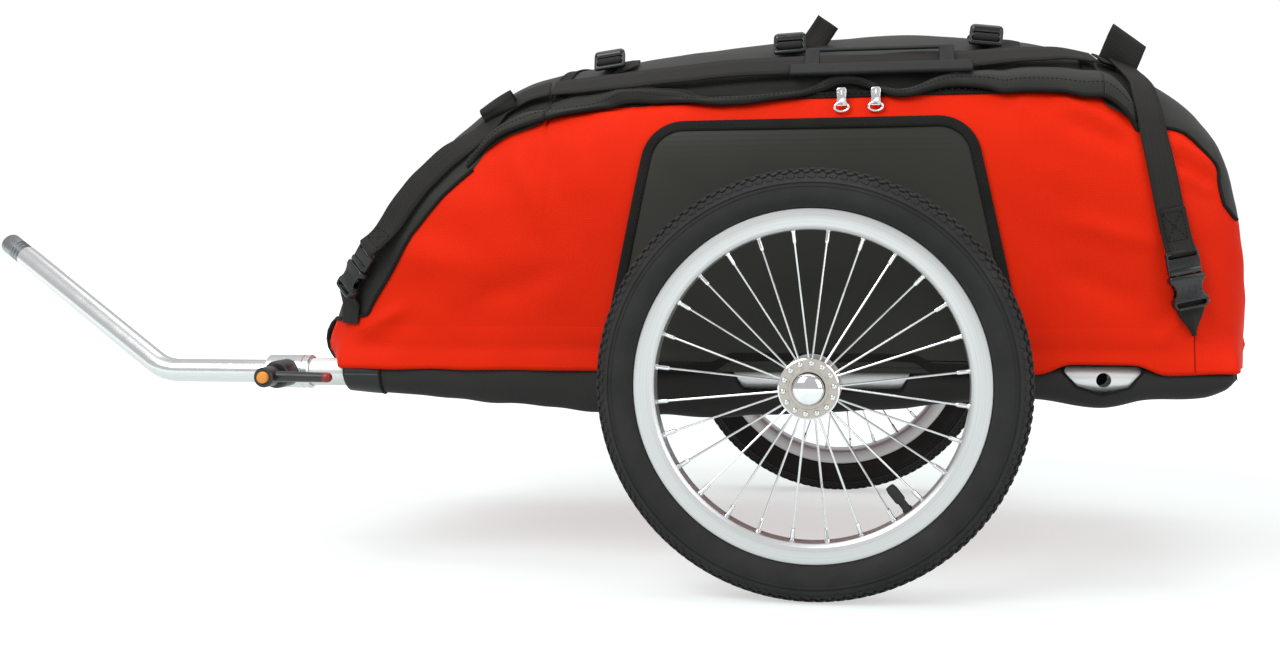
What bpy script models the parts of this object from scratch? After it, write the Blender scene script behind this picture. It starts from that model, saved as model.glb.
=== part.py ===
"""A two-wheel bicycle cargo trailer: bag on an aluminium frame, sliding drawbar, quick-release wheels.

Metres, +Z up. X runs from the drawbar (-X) to the rear (+X), and the left side (-Y) carries the drawbar.
Every shape is drawn with the axle line at x = 0, and the datum empty then centres the trailer on X.
"""

import math

import bmesh
import bpy
from mathutils import Matrix, Vector

# Clearances and driving dimensions
GAP = 0.0003
TRACK = 0.600
TYRE_RADIUS = 0.195
AXLE_HEIGHT = TYRE_RADIUS
FRAME_HALF_WIDTH = 0.202
FRAME_FRONT = -0.560
FRAME_REAR = 0.352

# Frame tubes
SIDE_TUBE_RADIUS = 0.014
SIDE_TUBE_BORE = 0.0126
CROSS_TUBE_RADIUS = 0.0125
CROSS_TUBE_BORE = 0.0105
CROSS_TUBE_PLACES = {"front_cross_tube": -0.400, "rear_cross_tube": 0.325}
SPARE_AXLE_X = 0.264
SPARE_AXLE_HOLE = 0.0067
DRILL_REACH = 0.020

# Wheels, with distances from the hub's middle counted outwards
WHEEL_SIDES = 36
RIM_EDGE_RADIUS = 0.159
RIM_FLOOR_RADIUS = 0.140
RIM_HALF_WIDTH = 0.0125
SPOKE_COUNT = 28
SPOKE_PHASE = math.radians(6.2)
SPOKE_WIDTH = 0.0020
NIPPLE_WIDTH = 0.0040
NIPPLE_LENGTH = 0.012
NIPPLE_SEAT = 0.002
SPOKE_CIRCLE = 0.0225
FLANGE_RADIUS = 0.0275
FLANGE_OUTER = 0.0245
FLANGE_INNER = 0.0215
TAPE_RADIUS = 0.1436
VALVE_SLOT = 4
VALVE_STEM_RADIUS = 0.0040
VALVE_CAP_RADIUS = 0.0046
HUB_SIDES = 20
BEARING_RADIUS = 0.0140
BEARING_WIDTH = 0.008
AXLE_RADIUS = 0.0060
AXLE_BORE = 0.0033
SOCKET_RADIUS = 0.0090
SOCKET_HALF_LENGTH = 0.0205
BUTTON_TRAVEL = 0.003

# Drawbar
DRAWBAR_RADIUS = 0.012
DRAWBAR_BORE = 0.010
DRAWBAR_INNER_END = -0.260
DRAWBAR_CORNER = Vector((-0.676, -FRAME_HALF_WIDTH, AXLE_HEIGHT))
DRAWBAR_TIP = Vector((-0.8935, -0.107, 0.3135))
DRAWBAR_BEND = 0.055
PLUG_LENGTH = 0.034
PLUG_RADIUS = 0.0115

# Clamp on the left tube
CLAMP_X = -0.536
COLLAR_LENGTH = 0.047
COLLAR_RADIUS = 0.017
COLLAR_BORE = 0.01445
CLAMP_SCREW_RADIUS = 0.004
CLAMP_HOLE_RADIUS = CLAMP_SCREW_RADIUS + 2 * GAP
LEVER_LENGTH = 0.068
LEVER_BUTTON_TRAVEL = 0.0025

# Bag, as heights and half widths along X
CLOTH = 0.0025
BAG_FLOOR = 0.2125
BELLY_SHARE = 0.42
BAG_AROUND = 24
UPPER_ROUNDNESS = 3.0
LOWER_ROUNDNESS = 18.0
BAG_TOP = (
    (-0.515, 0.232), (-0.503, 0.250), (-0.492, 0.272), (-0.467, 0.322), (-0.428, 0.394), (-0.384, 0.443),
    (-0.330, 0.483), (-0.262, 0.508), (-0.106, 0.528), (0.000, 0.5345), (0.085, 0.5385),
    (0.200, 0.526), (0.260, 0.508), (0.320, 0.481), (0.363, 0.447), (0.386, 0.408), (0.395, 0.330),
    (0.401, 0.240),
)
BAG_HALF_WIDTH = (
    (-0.515, 0.150), (-0.503, 0.172), (-0.492, 0.184), (-0.467, 0.204), (-0.428, 0.214), (-0.330, 0.2185),
    (0.300, 0.2185), (0.345, 0.213), (0.372, 0.202), (0.390, 0.180), (0.401, 0.145),
)
HEM_HEIGHT = 0.466
LID_FRONT = -0.265
LID_REAR = 0.262
FRONT_SEAM = (
    (LID_FRONT, 0.448), (-0.328, 0.422), (-0.380, 0.361), (-0.416, 0.317), (-0.455, 0.265),
    (-0.478, 0.247),
)
REAR_SEAM = ((LID_REAR, 0.449), (0.320, 0.432), (0.350, 0.408), (0.372, 0.372), (0.384, 0.340))
SLEEVE_RADIUS = 0.0163
SLEEVE_CLOTH = 0.0012
SLEEVE_DROP = (
    (-0.474, 0.001), (-0.426, 0.0045), (-0.156, 0.0235), (0.000, 0.0200), (0.200, 0.0035),
    (0.264, 0.0120), (0.300, 0.0030), (0.354, 0.0000), (0.378, -0.0090),
)

# Webbing, buckles and zip
WEBBING = 0.0016
WEBBING_WIDTH = 0.025
CROSS_STRAP_PLACES = {"front": -0.211, "middle": -0.028, "rear": 0.159}
CROSS_STRAP_FAR_END = 0.180
LOCK_WIDTHS = {"front": -0.138, "middle": -0.152, "rear": -0.144}
LOOP_RADIUS = 0.006
LOOP_WIDTH = 0.037
EDGE_STRAP_HEIGHTS = (
    (-0.262, 0.4745), (-0.224, 0.477), (-0.120, 0.483), (-0.025, 0.488), (0.060, 0.4905),
    (0.146, 0.4935), (0.210, 0.4940), (0.259, 0.4915),
)
FRONT_STRAP_LINE = (
    (0.2575, -0.4686), (0.275, -0.4649), (0.300, -0.4519), (0.322, -0.4340), (0.342, -0.4195),
    (0.364, -0.4035), (0.386, -0.3855), (0.405, -0.3675), (0.421, -0.3490), (0.434, -0.3325),
)
FRONT_BUCKLE_HEIGHT = 0.297
REAR_BUCKLE_HEIGHT = 0.289
REAR_STRAP_KNEE = Vector((0.298, 0.462))
REAR_STRAP_LEAN = math.radians(11)
FRONT_LOOP_PLACE = (-0.316, -0.176)
REAR_LOOP_PLACE = (0.283, -0.122)
ZIP_HALF_HEIGHT = 0.0060
ZIP_MIDDLE = HEM_HEIGHT - 0.0048
SLIDER_PLACES = {"front": 0.024, "rear": 0.056}
BUCKLE_WIDTH = 0.032
BUCKLE_THICKNESS = 0.010
PRONG_LENGTH = 0.016
BAR_SLOT_HALF = 0.0128

# Finishes: sRGB colour, roughness, metallic
ALUMINIUM = ("#C9CBCD", 0.35, 1.0)
BARE_STEEL = ("#A9ABAD", 0.28, 1.0)
DARK_STEEL = ("#4A4C50", 0.35, 1.0)
HUB_GREY = ("#B5AEA8", 0.45, 0.6)
TYRE_RUBBER = ("#2F3234", 0.85, 0.0)
BUTYL = ("#1B1B1C", 0.70, 0.0)
RED_CLOTH = ("#F5361A", 0.80, 0.0)
BLACK_CLOTH = ("#2E2E2C", 0.85, 0.0)
GUARD_CLOTH = ("#383833", 0.75, 0.0)
BLACK_WEBBING = ("#33322F", 0.85, 0.0)
BLACK_PLASTIC = ("#17181A", 0.30, 0.0)
ORANGE_PLASTIC = ("#F39A3D", 0.40, 0.0)

LEFT, RIGHT = -1, 1
SIDES = {"left": LEFT, "right": RIGHT}

for leftover in list(bpy.data.objects):
    bpy.data.objects.remove(leftover)

trailer = bpy.data.collections.new("bike_cargo_trailer")
cutters = bpy.data.collections.new("cutters")
for collection in (trailer, cutters):
    bpy.context.scene.collection.children.link(collection)

# The foremost point is the rim of the coupling plug's end face, the rearmost the bag's tail
plug_direction = (DRAWBAR_TIP - DRAWBAR_CORNER).normalized()
plug_end = DRAWBAR_TIP + plug_direction * PLUG_LENGTH
front_reach = -plug_end.x + PLUG_RADIUS * math.sqrt(1 - plug_direction.x ** 2)
rear_reach = BAG_TOP[-1][0]
datum = bpy.data.objects.new("axle_datum", None)
datum.location.x = (front_reach - rear_reach) / 2
trailer.objects.link(datum)


def linear(channel):
    """An sRGB channel as the linear value that a shader takes."""
    return channel / 12.92 if channel <= 0.04045 else ((channel + 0.055) / 1.055) ** 2.4


def finish(name, look):
    """A Principled material from one of the finishes above."""
    colour, roughness, metallic = look
    red, green, blue = (linear(int(colour[i:i + 2], 16) / 255) for i in (1, 3, 5))
    material = bpy.data.materials.new(name)
    material.use_nodes = True
    shader = material.node_tree.nodes["Principled BSDF"]
    shader.inputs["Base Color"].default_value = (red, green, blue, 1)
    shader.inputs["Roughness"].default_value = roughness
    shader.inputs["Metallic"].default_value = metallic
    material.diffuse_color = (red, green, blue, 1)
    return material


def add(name, mesh, look, matrix=Matrix()):
    """A sub-part from a mesh, or a cutter where it has no look."""
    obj = bpy.data.objects.new(name, mesh)
    obj.parent = datum
    obj.matrix_local = matrix
    if look is None:
        cutters.objects.link(obj)
        obj.hide_render = True
        obj.display_type = "WIRE"
    else:
        trailer.objects.link(obj)
        mesh.materials.append(finish(name, look))
    return obj


def mesh_of(bm, name="shape"):
    mesh = bpy.data.meshes.new(name)
    bm.to_mesh(mesh)
    bm.free()
    return mesh


def shade(mesh, angle=40):
    mesh.shade_smooth()
    mesh.set_sharp_from_angle(angle=math.radians(angle))


def boolean(obj, other, operation="DIFFERENCE"):
    modifier = obj.modifiers.new(operation.title(), "BOOLEAN")
    modifier.operation = operation
    modifier.object = other
    modifier.solver = "EXACT"


def pivot(obj, point):
    """Moves an object's origin to a point, and leaves its shape where it is."""
    obj.data.transform(Matrix.Translation(-point))
    obj.location = point


def turned(name, look, profile, matrix, sides=HUB_SIDES, ring=True):
    """A turned piece: (radius, height) points, down the outer side, round the matrix's Z axis."""
    bm = bmesh.new()
    corners = [bm.verts.new((radius, 0, height)) for radius, height in profile]
    for first, second in zip(corners, corners[1:] + corners[:1] if ring else corners[1:]):
        bm.edges.new((first, second))
    obj = add(name, mesh_of(bm, name), look, matrix)
    screw = obj.modifiers.new("Turn", "SCREW")
    screw.steps = sides
    screw.render_steps = sides
    screw.use_merge_vertices = True
    screw.merge_threshold = 0.00001
    screw.use_smooth_shade = False
    return obj


def tube_profile(outer, bore, low, high):
    return ((outer, high), (outer, low), (bore, low), (bore, high))


def rod_profile(radius, low, high):
    return ((0, high), (radius, high), (radius, low), (0, low))


def outward(side, x=0.0, y=TRACK / 2, z=AXLE_HEIGHT):
    """A frame whose Z axis points out of the trailer's left or right side."""
    return Matrix.Translation((x, side * y, z)) @ Matrix.Rotation(-side * math.pi / 2, 4, "X")


def along_x(y, z, x=0.0):
    return Matrix.Translation((x, y, z)) @ Matrix.Rotation(math.pi / 2, 4, "Y")


def cylinder(bm, radius, low, high, matrix, sides=HUB_SIDES):
    """Adds a closed cylinder along the matrix's Z axis."""
    centre = matrix @ Matrix.Translation((0, 0, (low + high) / 2))
    bmesh.ops.create_cone(
        bm, cap_ends=True, segments=sides, radius1=radius, radius2=radius, depth=high - low, matrix=centre
    )


def box(bm, low, high, matrix=Matrix()):
    """Adds a closed box between two corners."""
    low, high = Vector(low), Vector(high)
    size = Matrix.Diagonal((high - low).to_4d())
    size[3][3] = 1
    bmesh.ops.create_cube(bm, size=1, matrix=matrix @ Matrix.Translation((low + high) / 2) @ size)


def slab(outlines, thickness):
    """A flat piece from closed outlines in the XY plane, the first outer and the rest its holes."""
    curve = bpy.data.curves.new("outline", "CURVE")
    curve.dimensions = "2D"
    curve.fill_mode = "BOTH"
    curve.extrude = thickness / 2
    for outline in outlines:
        spline = curve.splines.new("POLY")
        spline.points.add(len(outline) - 1)
        for point, (x, y) in zip(spline.points, outline):
            point.co = (x, y, 0, 1)
        spline.use_cyclic_u = True
    return mesh_from_curve(curve)


def mesh_from_curve(curve):
    """The curve's evaluated mesh with its caps welded."""
    holder = bpy.data.objects.new("holder", curve)
    bpy.context.scene.collection.objects.link(holder)
    bpy.context.view_layer.update()
    mesh = bpy.data.meshes.new_from_object(holder.evaluated_get(bpy.context.evaluated_depsgraph_get()))
    bpy.data.objects.remove(holder)
    bm = bmesh.new()
    bm.from_mesh(mesh)
    bmesh.ops.remove_doubles(bm, verts=bm.verts, dist=0.00001)
    bmesh.ops.recalc_face_normals(bm, faces=bm.faces)
    bm.to_mesh(mesh)
    bm.free()
    mesh.materials.clear()
    return mesh


def rod_mesh(points, radius, resolution=4):
    """A round bar along a list of points."""
    curve = bpy.data.curves.new("route", "CURVE")
    curve.dimensions = "3D"
    curve.bevel_depth = radius
    curve.bevel_resolution = resolution
    curve.use_fill_caps = True
    spline = curve.splines.new("POLY")
    spline.points.add(len(points) - 1)
    for point, place in zip(spline.points, points):
        point.co = (*place, 1)
    return mesh_from_curve(curve)


def rounded(corners, radius, steps=3):
    """A closed outline whose corners are arcs of one radius."""
    outline = []
    for i, corner in enumerate(corners):
        corner = Vector(corner)
        before = (Vector(corners[i - 1]) - corner).normalized()
        after = (Vector(corners[(i + 1) % len(corners)]) - corner).normalized()
        half = before.angle(after) / 2
        centre = corner + (before + after).normalized() * radius / math.sin(half)
        start = corner + before * radius / math.tan(half) - centre
        end = corner + after * radius / math.tan(half) - centre
        for step in range(steps + 1):
            outline.append(tuple(centre + start.slerp(end, step / steps).normalized() * radius))
    return outline


def upright(y=0.0):
    """Stands an XY outline up in the XZ plane, with its thickness along Y."""
    return Matrix.Translation((0, y, 0)) @ Matrix.Rotation(math.pi / 2, 4, "X")


def between(stations, x):
    """The value at x of a line through (x, value) stations."""
    x = min(max(x, stations[0][0]), stations[-1][0])
    for (x0, value0), (x1, value1) in zip(stations, stations[1:]):
        if x <= x1:
            return value0 + (value1 - value0) * (x - x0) / (x1 - x0)
    return stations[-1][1]


# The bag's surface: at each x a rounded section, boxy below its belly line and domed above it


def section(x):
    top = between(BAG_TOP, x)
    belly = BAG_FLOOR + BELLY_SHARE * (top - BAG_FLOOR)
    return between(BAG_HALF_WIDTH, x), belly, top


def bag_surface(x, turn):
    """The point at a turn round the section: 0 points to the right, a quarter turn points up."""
    half_width, belly, top = section(x)
    across, up = math.cos(turn), math.sin(turn)
    power = UPPER_ROUNDNESS if up > 0 else LOWER_ROUNDNESS
    reach = (abs(across) ** power + abs(up) ** power) ** (1 / power)
    height = top - belly if up > 0 else belly - BAG_FLOOR
    return Vector((x, half_width * across / reach, belly + height * up / reach))


def bag_normal(x, turn):
    """The surface's outward direction, from points a little to each side."""
    step, turn_step = 0.003, 0.02
    along = bag_surface(x + step, turn) - bag_surface(x - step, turn)
    around = bag_surface(x, turn + turn_step) - bag_surface(x, turn - turn_step)
    return around.cross(along).normalized()


def turn_at_height(x, z):
    """The turn on the left side's upper half where the bag is z high."""
    _, belly, top = section(x)
    up = (z - belly) / (top - belly) if z > belly else (z - belly) / (belly - BAG_FLOOR)
    power = UPPER_ROUNDNESS if z > belly else LOWER_ROUNDNESS
    return math.atan2(up, -(1 - abs(up) ** power) ** (1 / power)) % (2 * math.pi)


def side_place(x, z):
    """The (x, turn) on the left side at this x and z."""
    return x, turn_at_height(x, z)


def turn_at_width(x, y):
    """The turn on the upper half where the bag's surface is at y."""
    across = y / section(x)[0]
    return math.atan2((1 - abs(across) ** UPPER_ROUNDNESS) ** (1 / UPPER_ROUNDNESS), across)


def bag_skin(bm, inset):
    """Adds the bag's closed outer surface, or the same surface drawn in by the cloth's thickness."""
    bottle = bmesh.new()
    bmesh.ops.create_cone(bottle, cap_ends=True, segments=BAG_AROUND, radius1=1, radius2=1, depth=1)
    lengthwise = [edge for edge in bottle.edges if abs(edge.verts[0].co.z - edge.verts[1].co.z) > 0.5]
    bmesh.ops.subdivide_edges(bottle, edges=lengthwise, cuts=len(BAG_TOP) - 2, use_grid_fill=True)
    for vert in bottle.verts:
        x = BAG_TOP[round((vert.co.z + 0.5) * (len(BAG_TOP) - 1))][0]
        turn = math.atan2(vert.co.y, vert.co.x)
        point = bag_surface(x, turn) - bag_normal(x, turn) * inset
        point.x = min(max(point.x, BAG_TOP[0][0] + inset), BAG_TOP[-1][0] - inset)
        vert.co = point
    if inset:
        bmesh.ops.reverse_faces(bottle, faces=bottle.faces)
    mesh = mesh_of(bottle)
    bm.from_mesh(mesh)


def bag_part(name, look, outline):
    """The part of the bag's shell inside an XZ outline that runs right across the bag."""
    past_both_sides = 0.6
    bm = bmesh.new()
    bag_skin(bm, 0)
    bag_skin(bm, CLOTH)
    obj = add(name, mesh_of(bm, name), look)
    cutter = add(f"{name}_outline", slab([outline], past_both_sides), None, upright())
    boolean(obj, cutter, "INTERSECT")
    return obj


def block(rings, columns, place):
    """A cube cut into rings along and columns across, each corner then placed by its three shares."""
    bm = bmesh.new()
    bmesh.ops.create_cube(bm, size=1)
    for axis, cuts in ((0, rings), (1, columns)):
        edges = [e for e in bm.edges if abs(e.verts[0].co[axis] - e.verts[1].co[axis]) > 0.9]
        bmesh.ops.subdivide_edges(bm, edges=edges, cuts=cuts, use_grid_fill=True)
    for vert in bm.verts:
        vert.co = place(*(vert.co + Vector((0.5, 0.5, 0.5))))
    return mesh_of(bm)


def route_at(route, share):
    place = min(max(share, 0), 1) * (len(route) - 1)
    first = min(int(place), len(route) - 2)
    return Vector(route[first]).lerp(Vector(route[first + 1]), place - first)


def surface_frame(route, share, lift):
    """A frame on the bag: X along the route of (x, turn) points, Z out of the bag."""
    step = 0.5 / (len(route) - 1)
    here, ahead, behind = (route_at(route, share + way) for way in (0, step, -step))
    normal = bag_normal(*here)
    along = bag_surface(*ahead) - bag_surface(*behind)
    along = (along - normal * along.dot(normal)).normalized()
    frame = Matrix((along, normal.cross(along), normal)).transposed().to_4x4()
    frame.translation = bag_surface(*here) + normal * lift
    return frame


def band(name, look, route, lift, rings, width=WEBBING_WIDTH, thickness=WEBBING):
    """A flat strap lying on the bag along a route of (x, turn) points."""

    def place(share, across, depth):
        frame = surface_frame(route, share, lift)
        return frame @ Vector((0, (across - 0.5) * width, depth * thickness))

    mesh = block(rings, 1, place)
    shade(mesh)
    return add(name, mesh, look)


# Frame


def side_tubes():
    """Two tubes with holes for the axle sockets and for a second wheel position."""
    for word, side in SIDES.items():
        tube = turned(
            f"{word}_side_tube", ALUMINIUM,
            tube_profile(SIDE_TUBE_RADIUS, SIDE_TUBE_BORE, FRAME_FRONT, FRAME_REAR),
            along_x(side * FRAME_HALF_WIDTH, AXLE_HEIGHT),
        )
        holes = bmesh.new()
        through = (-DRILL_REACH, DRILL_REACH)
        cylinder(holes, SOCKET_RADIUS + GAP, *through, outward(side, 0, FRAME_HALF_WIDTH))
        cylinder(holes, SPARE_AXLE_HOLE, *through, outward(side, SPARE_AXLE_X, FRAME_HALF_WIDTH), 16)
        if side == LEFT:
            drill_clamp_hole(holes)
        boolean(tube, add(f"{word}_side_tube_holes", mesh_of(holes), None))


def drill_clamp_hole(bm):
    """Adds the drill for the clamp screw, which goes through the outer wall only."""
    axis = outward(LEFT, CLAMP_X, FRAME_HALF_WIDTH)
    cylinder(bm, CLAMP_HOLE_RADIUS, SIDE_TUBE_RADIUS / 2, DRILL_REACH, axis, 16)


def cross_tubes():
    """Two tubes between the side tubes, their ends hollowed to the side tubes' curve."""
    saddles = bmesh.new()
    for side in SIDES.values():
        tube_line = along_x(side * FRAME_HALF_WIDTH, AXLE_HEIGHT)
        cylinder(saddles, SIDE_TUBE_RADIUS + GAP, FRAME_FRONT, FRAME_REAR, tube_line)
    cutter = add("cross_tube_saddles", mesh_of(saddles), None)
    into_saddle = 0.010
    half_length = FRAME_HALF_WIDTH - SIDE_TUBE_RADIUS + into_saddle
    for name, x in CROSS_TUBE_PLACES.items():
        profile = tube_profile(CROSS_TUBE_RADIUS, CROSS_TUBE_BORE, -half_length, half_length)
        tube = turned(name, ALUMINIUM, profile, outward(RIGHT, x, 0))
        boolean(tube, cutter)


def axle_sockets():
    middle = FRAME_HALF_WIDTH - TRACK / 2
    for word, side in SIDES.items():
        profile = tube_profile(
            SOCKET_RADIUS, AXLE_RADIUS + GAP, middle - SOCKET_HALF_LENGTH, middle + SOCKET_HALF_LENGTH
        )
        turned(f"{word}_axle_socket", ALUMINIUM, profile, outward(side))


def clamp():
    """Collar and boss on the left tube, and the indexing lever whose screw presses on the drawbar."""
    half = COLLAR_LENGTH / 2
    tube_line = along_x(-FRAME_HALF_WIDTH, AXLE_HEIGHT, CLAMP_X)
    collar_profile = tube_profile(COLLAR_RADIUS, COLLAR_BORE, -half, half)
    collar = turned("clamp_collar", ALUMINIUM, collar_profile, tube_line)
    hole = bmesh.new()
    drill_clamp_hole(hole)
    boolean(collar, add("clamp_collar_hole", mesh_of(hole), None))

    axis = outward(LEFT, CLAMP_X, FRAME_HALF_WIDTH)
    boss_radius, boss_low, boss_high = 0.0138, 0.010, 0.041
    boss_profile = tube_profile(boss_radius, CLAMP_HOLE_RADIUS, boss_low, boss_high)
    boss = turned("clamp_boss", BLACK_PLASTIC, boss_profile, axis)
    saddle = bmesh.new()
    cylinder(saddle, COLLAR_RADIUS + GAP, -half, half, tube_line)
    boolean(boss, add("clamp_boss_saddle", mesh_of(saddle), None))

    head_low, head_high, head_radius, neck_radius = 0.0445, 0.070, 0.010, 0.0075
    bore_radius, bore_floor = 0.0063, 0.061
    screw_tip = DRAWBAR_RADIUS + GAP
    lever = turned("clamp_lever", BLACK_PLASTIC, (
        (0, bore_floor), (bore_radius, bore_floor), (bore_radius, head_high), (head_radius, head_high),
        (head_radius, head_low + 0.006), (neck_radius, head_low), (CLAMP_SCREW_RADIUS, head_low),
        (CLAMP_SCREW_RADIUS, screw_tip), (0, screw_tip),
    ), axis, ring=False)
    arm_route = [(0.0085, 0, 0.057), (0.030, 0, 0.059), (LEVER_LENGTH, 0, 0.063)]
    arm = add("clamp_lever_arm", rod_mesh(arm_route, 0.0048, 3), None, axis)
    boolean(lever, arm, "UNION")
    button_low = bore_floor + LEVER_BUTTON_TRAVEL + GAP
    button_profile = rod_profile(bore_radius - GAP, button_low, head_high + 0.003)
    turned("lever_button", ORANGE_PLASTIC, button_profile, axis)


# Wheels


def mirrored(points):
    """The same (radius, across) points on the wheel's other side, in the opposite order."""
    return tuple((radius, -across) for radius, across in reversed(points))


def tyre_profile():
    """The tyre's cross-section as (radius, across): tread, sidewalls and beads, then the hollow inside."""
    bead = ((0.1545, 0.0082), (0.1600, 0.0102))
    sidewall = ((0.1640, 0.0175), (0.1745, 0.0210), (0.1855, 0.0180), (0.1925, 0.0105))
    hollow = ((0.1890, 0.0080), (0.1760, 0.0165), (0.1615, 0.0078))
    outside = bead + sidewall
    return (*outside, (TYRE_RADIUS, 0), *mirrored(outside), *mirrored(hollow), *hollow)


def wheels():
    for word, side in SIDES.items():
        hub_frame = outward(side)
        turned(f"{word}_tyre", TYRE_RUBBER, tyre_profile(), hub_frame, sides=WHEEL_SIDES)
        rim(word, hub_frame)
        spokes(word, hub_frame)
        inner_tube(word, hub_frame)
        hub(word, hub_frame)


def wheel_turn(slot):
    """A frame turned about the hub so that its X axis points at a place between or on the spokes."""
    return Matrix.Rotation(SPOKE_PHASE - slot * 2 * math.pi / SPOKE_COUNT, 4, "Z")


def valve_frame():
    """A frame whose Z axis points from the hub to the valve."""
    return wheel_turn(VALVE_SLOT + 0.5) @ Matrix.Rotation(math.pi / 2, 4, "Y")


def drill_valve_hole(bm):
    low, high = RIM_FLOOR_RADIUS - 0.006, RIM_FLOOR_RADIUS + 0.008
    cylinder(bm, VALVE_STEM_RADIUS + 2 * GAP, low, high, valve_frame(), sides=8)


def rim(word, hub_frame):
    """A single-walled channel with a hole for each nipple and one for the valve."""
    bead_seat, wall = 0.1496, 0.0015
    outside = ((RIM_FLOOR_RADIUS, 0.007), (0.149, RIM_HALF_WIDTH), (RIM_EDGE_RADIUS, RIM_HALF_WIDTH))
    inside = (
        (RIM_EDGE_RADIUS, RIM_HALF_WIDTH - wall), (bead_seat, RIM_HALF_WIDTH - wall),
        (RIM_FLOOR_RADIUS + 0.0016, 0.006),
    )
    profile = (*outside, *inside, *mirrored(inside), *mirrored(outside))
    obj = turned(f"{word}_rim", ALUMINIUM, profile, hub_frame, sides=WHEEL_SIDES)
    holes = bmesh.new()
    half = NIPPLE_WIDTH / 2 + 0.0007
    low, high = RIM_FLOOR_RADIUS - 0.004, RIM_FLOOR_RADIUS + 0.008
    for slot in range(SPOKE_COUNT):
        seat = NIPPLE_SEAT + GAP if slot % 2 == 0 else -NIPPLE_SEAT - GAP
        box(holes, (low, -half, seat - half), (high, half, seat + half), wheel_turn(slot))
    drill_valve_hole(holes)
    boolean(obj, add(f"{word}_rim_holes", mesh_of(holes), None, hub_frame))


def spoke_mesh():
    """Every spoke with its nipple, from the hub's flanges to the rim, outer and inner flange in turn."""
    bm = bmesh.new()
    foot = FLANGE_INNER - GAP - SPOKE_WIDTH / 2
    for slot in range(SPOKE_COUNT):
        way = 1 if slot % 2 == 0 else -1
        start = Vector((SPOKE_CIRCLE, 0, way * foot))
        end = Vector((TAPE_RADIUS, 0, way * NIPPLE_SEAT))
        nipple_share = 1 - (TAPE_RADIUS - RIM_FLOOR_RADIUS + NIPPLE_LENGTH) / (end - start).length
        stations = (
            (0.0, SPOKE_WIDTH), (nipple_share, SPOKE_WIDTH), (nipple_share + 0.002, NIPPLE_WIDTH),
            (1.0, NIPPLE_WIDTH),
        )

        def place(share, across, depth):
            at, width = stations[round(share * 3)]
            return start.lerp(end, at) + Vector((0, across - 0.5, depth - 0.5)) * width

        spoke = block(2, 0, place)
        spoke.transform(wheel_turn(slot))
        bm.from_mesh(spoke)
    return mesh_of(bm)


def spokes(word, hub_frame):
    """The spokes end in the rim tape that covers their nipples, which makes them one body."""
    tape_thickness, tape_half_width = 0.0012, 0.0055
    obj = add(f"{word}_spokes", spoke_mesh(), BARE_STEEL, hub_frame)
    flat = 1 / math.cos(math.pi / SPOKE_COUNT)
    inner_radius, outer_radius = ((TAPE_RADIUS + way * tape_thickness / 2) * flat for way in (-1, 1))
    profile = tube_profile(outer_radius, inner_radius, -tape_half_width, tape_half_width)
    tape = turned(f"{word}_rim_tape", None, profile, hub_frame @ wheel_turn(0.5), sides=SPOKE_COUNT)
    boolean(obj, tape, "UNION")
    hole = bmesh.new()
    drill_valve_hole(hole)
    boolean(obj, add(f"{word}_tape_hole", mesh_of(hole), None, hub_frame))


def inner_tube(word, hub_frame):
    """The air tube with its valve stem and cap, which point at the hub."""
    ring_radius, tube_radius, ring_sides = 0.1745, 0.0115, 6
    profile = []
    for corner in range(ring_sides):
        angle = -2 * math.pi * corner / ring_sides
        profile.append((ring_radius + tube_radius * math.cos(angle), tube_radius * math.sin(angle)))
    obj = turned(f"{word}_inner_tube", BUTYL, profile, hub_frame, sides=HUB_SIDES)
    in_the_tube, cap_top, cap_end = 0.170, 0.130, 0.113
    stem_profile = (
        (0, in_the_tube), (VALVE_STEM_RADIUS, in_the_tube), (VALVE_STEM_RADIUS, cap_top),
        (VALVE_CAP_RADIUS, cap_top - 0.001), (VALVE_CAP_RADIUS, cap_end), (0, cap_end),
    )
    stem = turned(f"{word}_valve_stem", None, stem_profile, hub_frame @ valve_frame(), sides=8, ring=False)
    boolean(obj, stem, "UNION")


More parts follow.
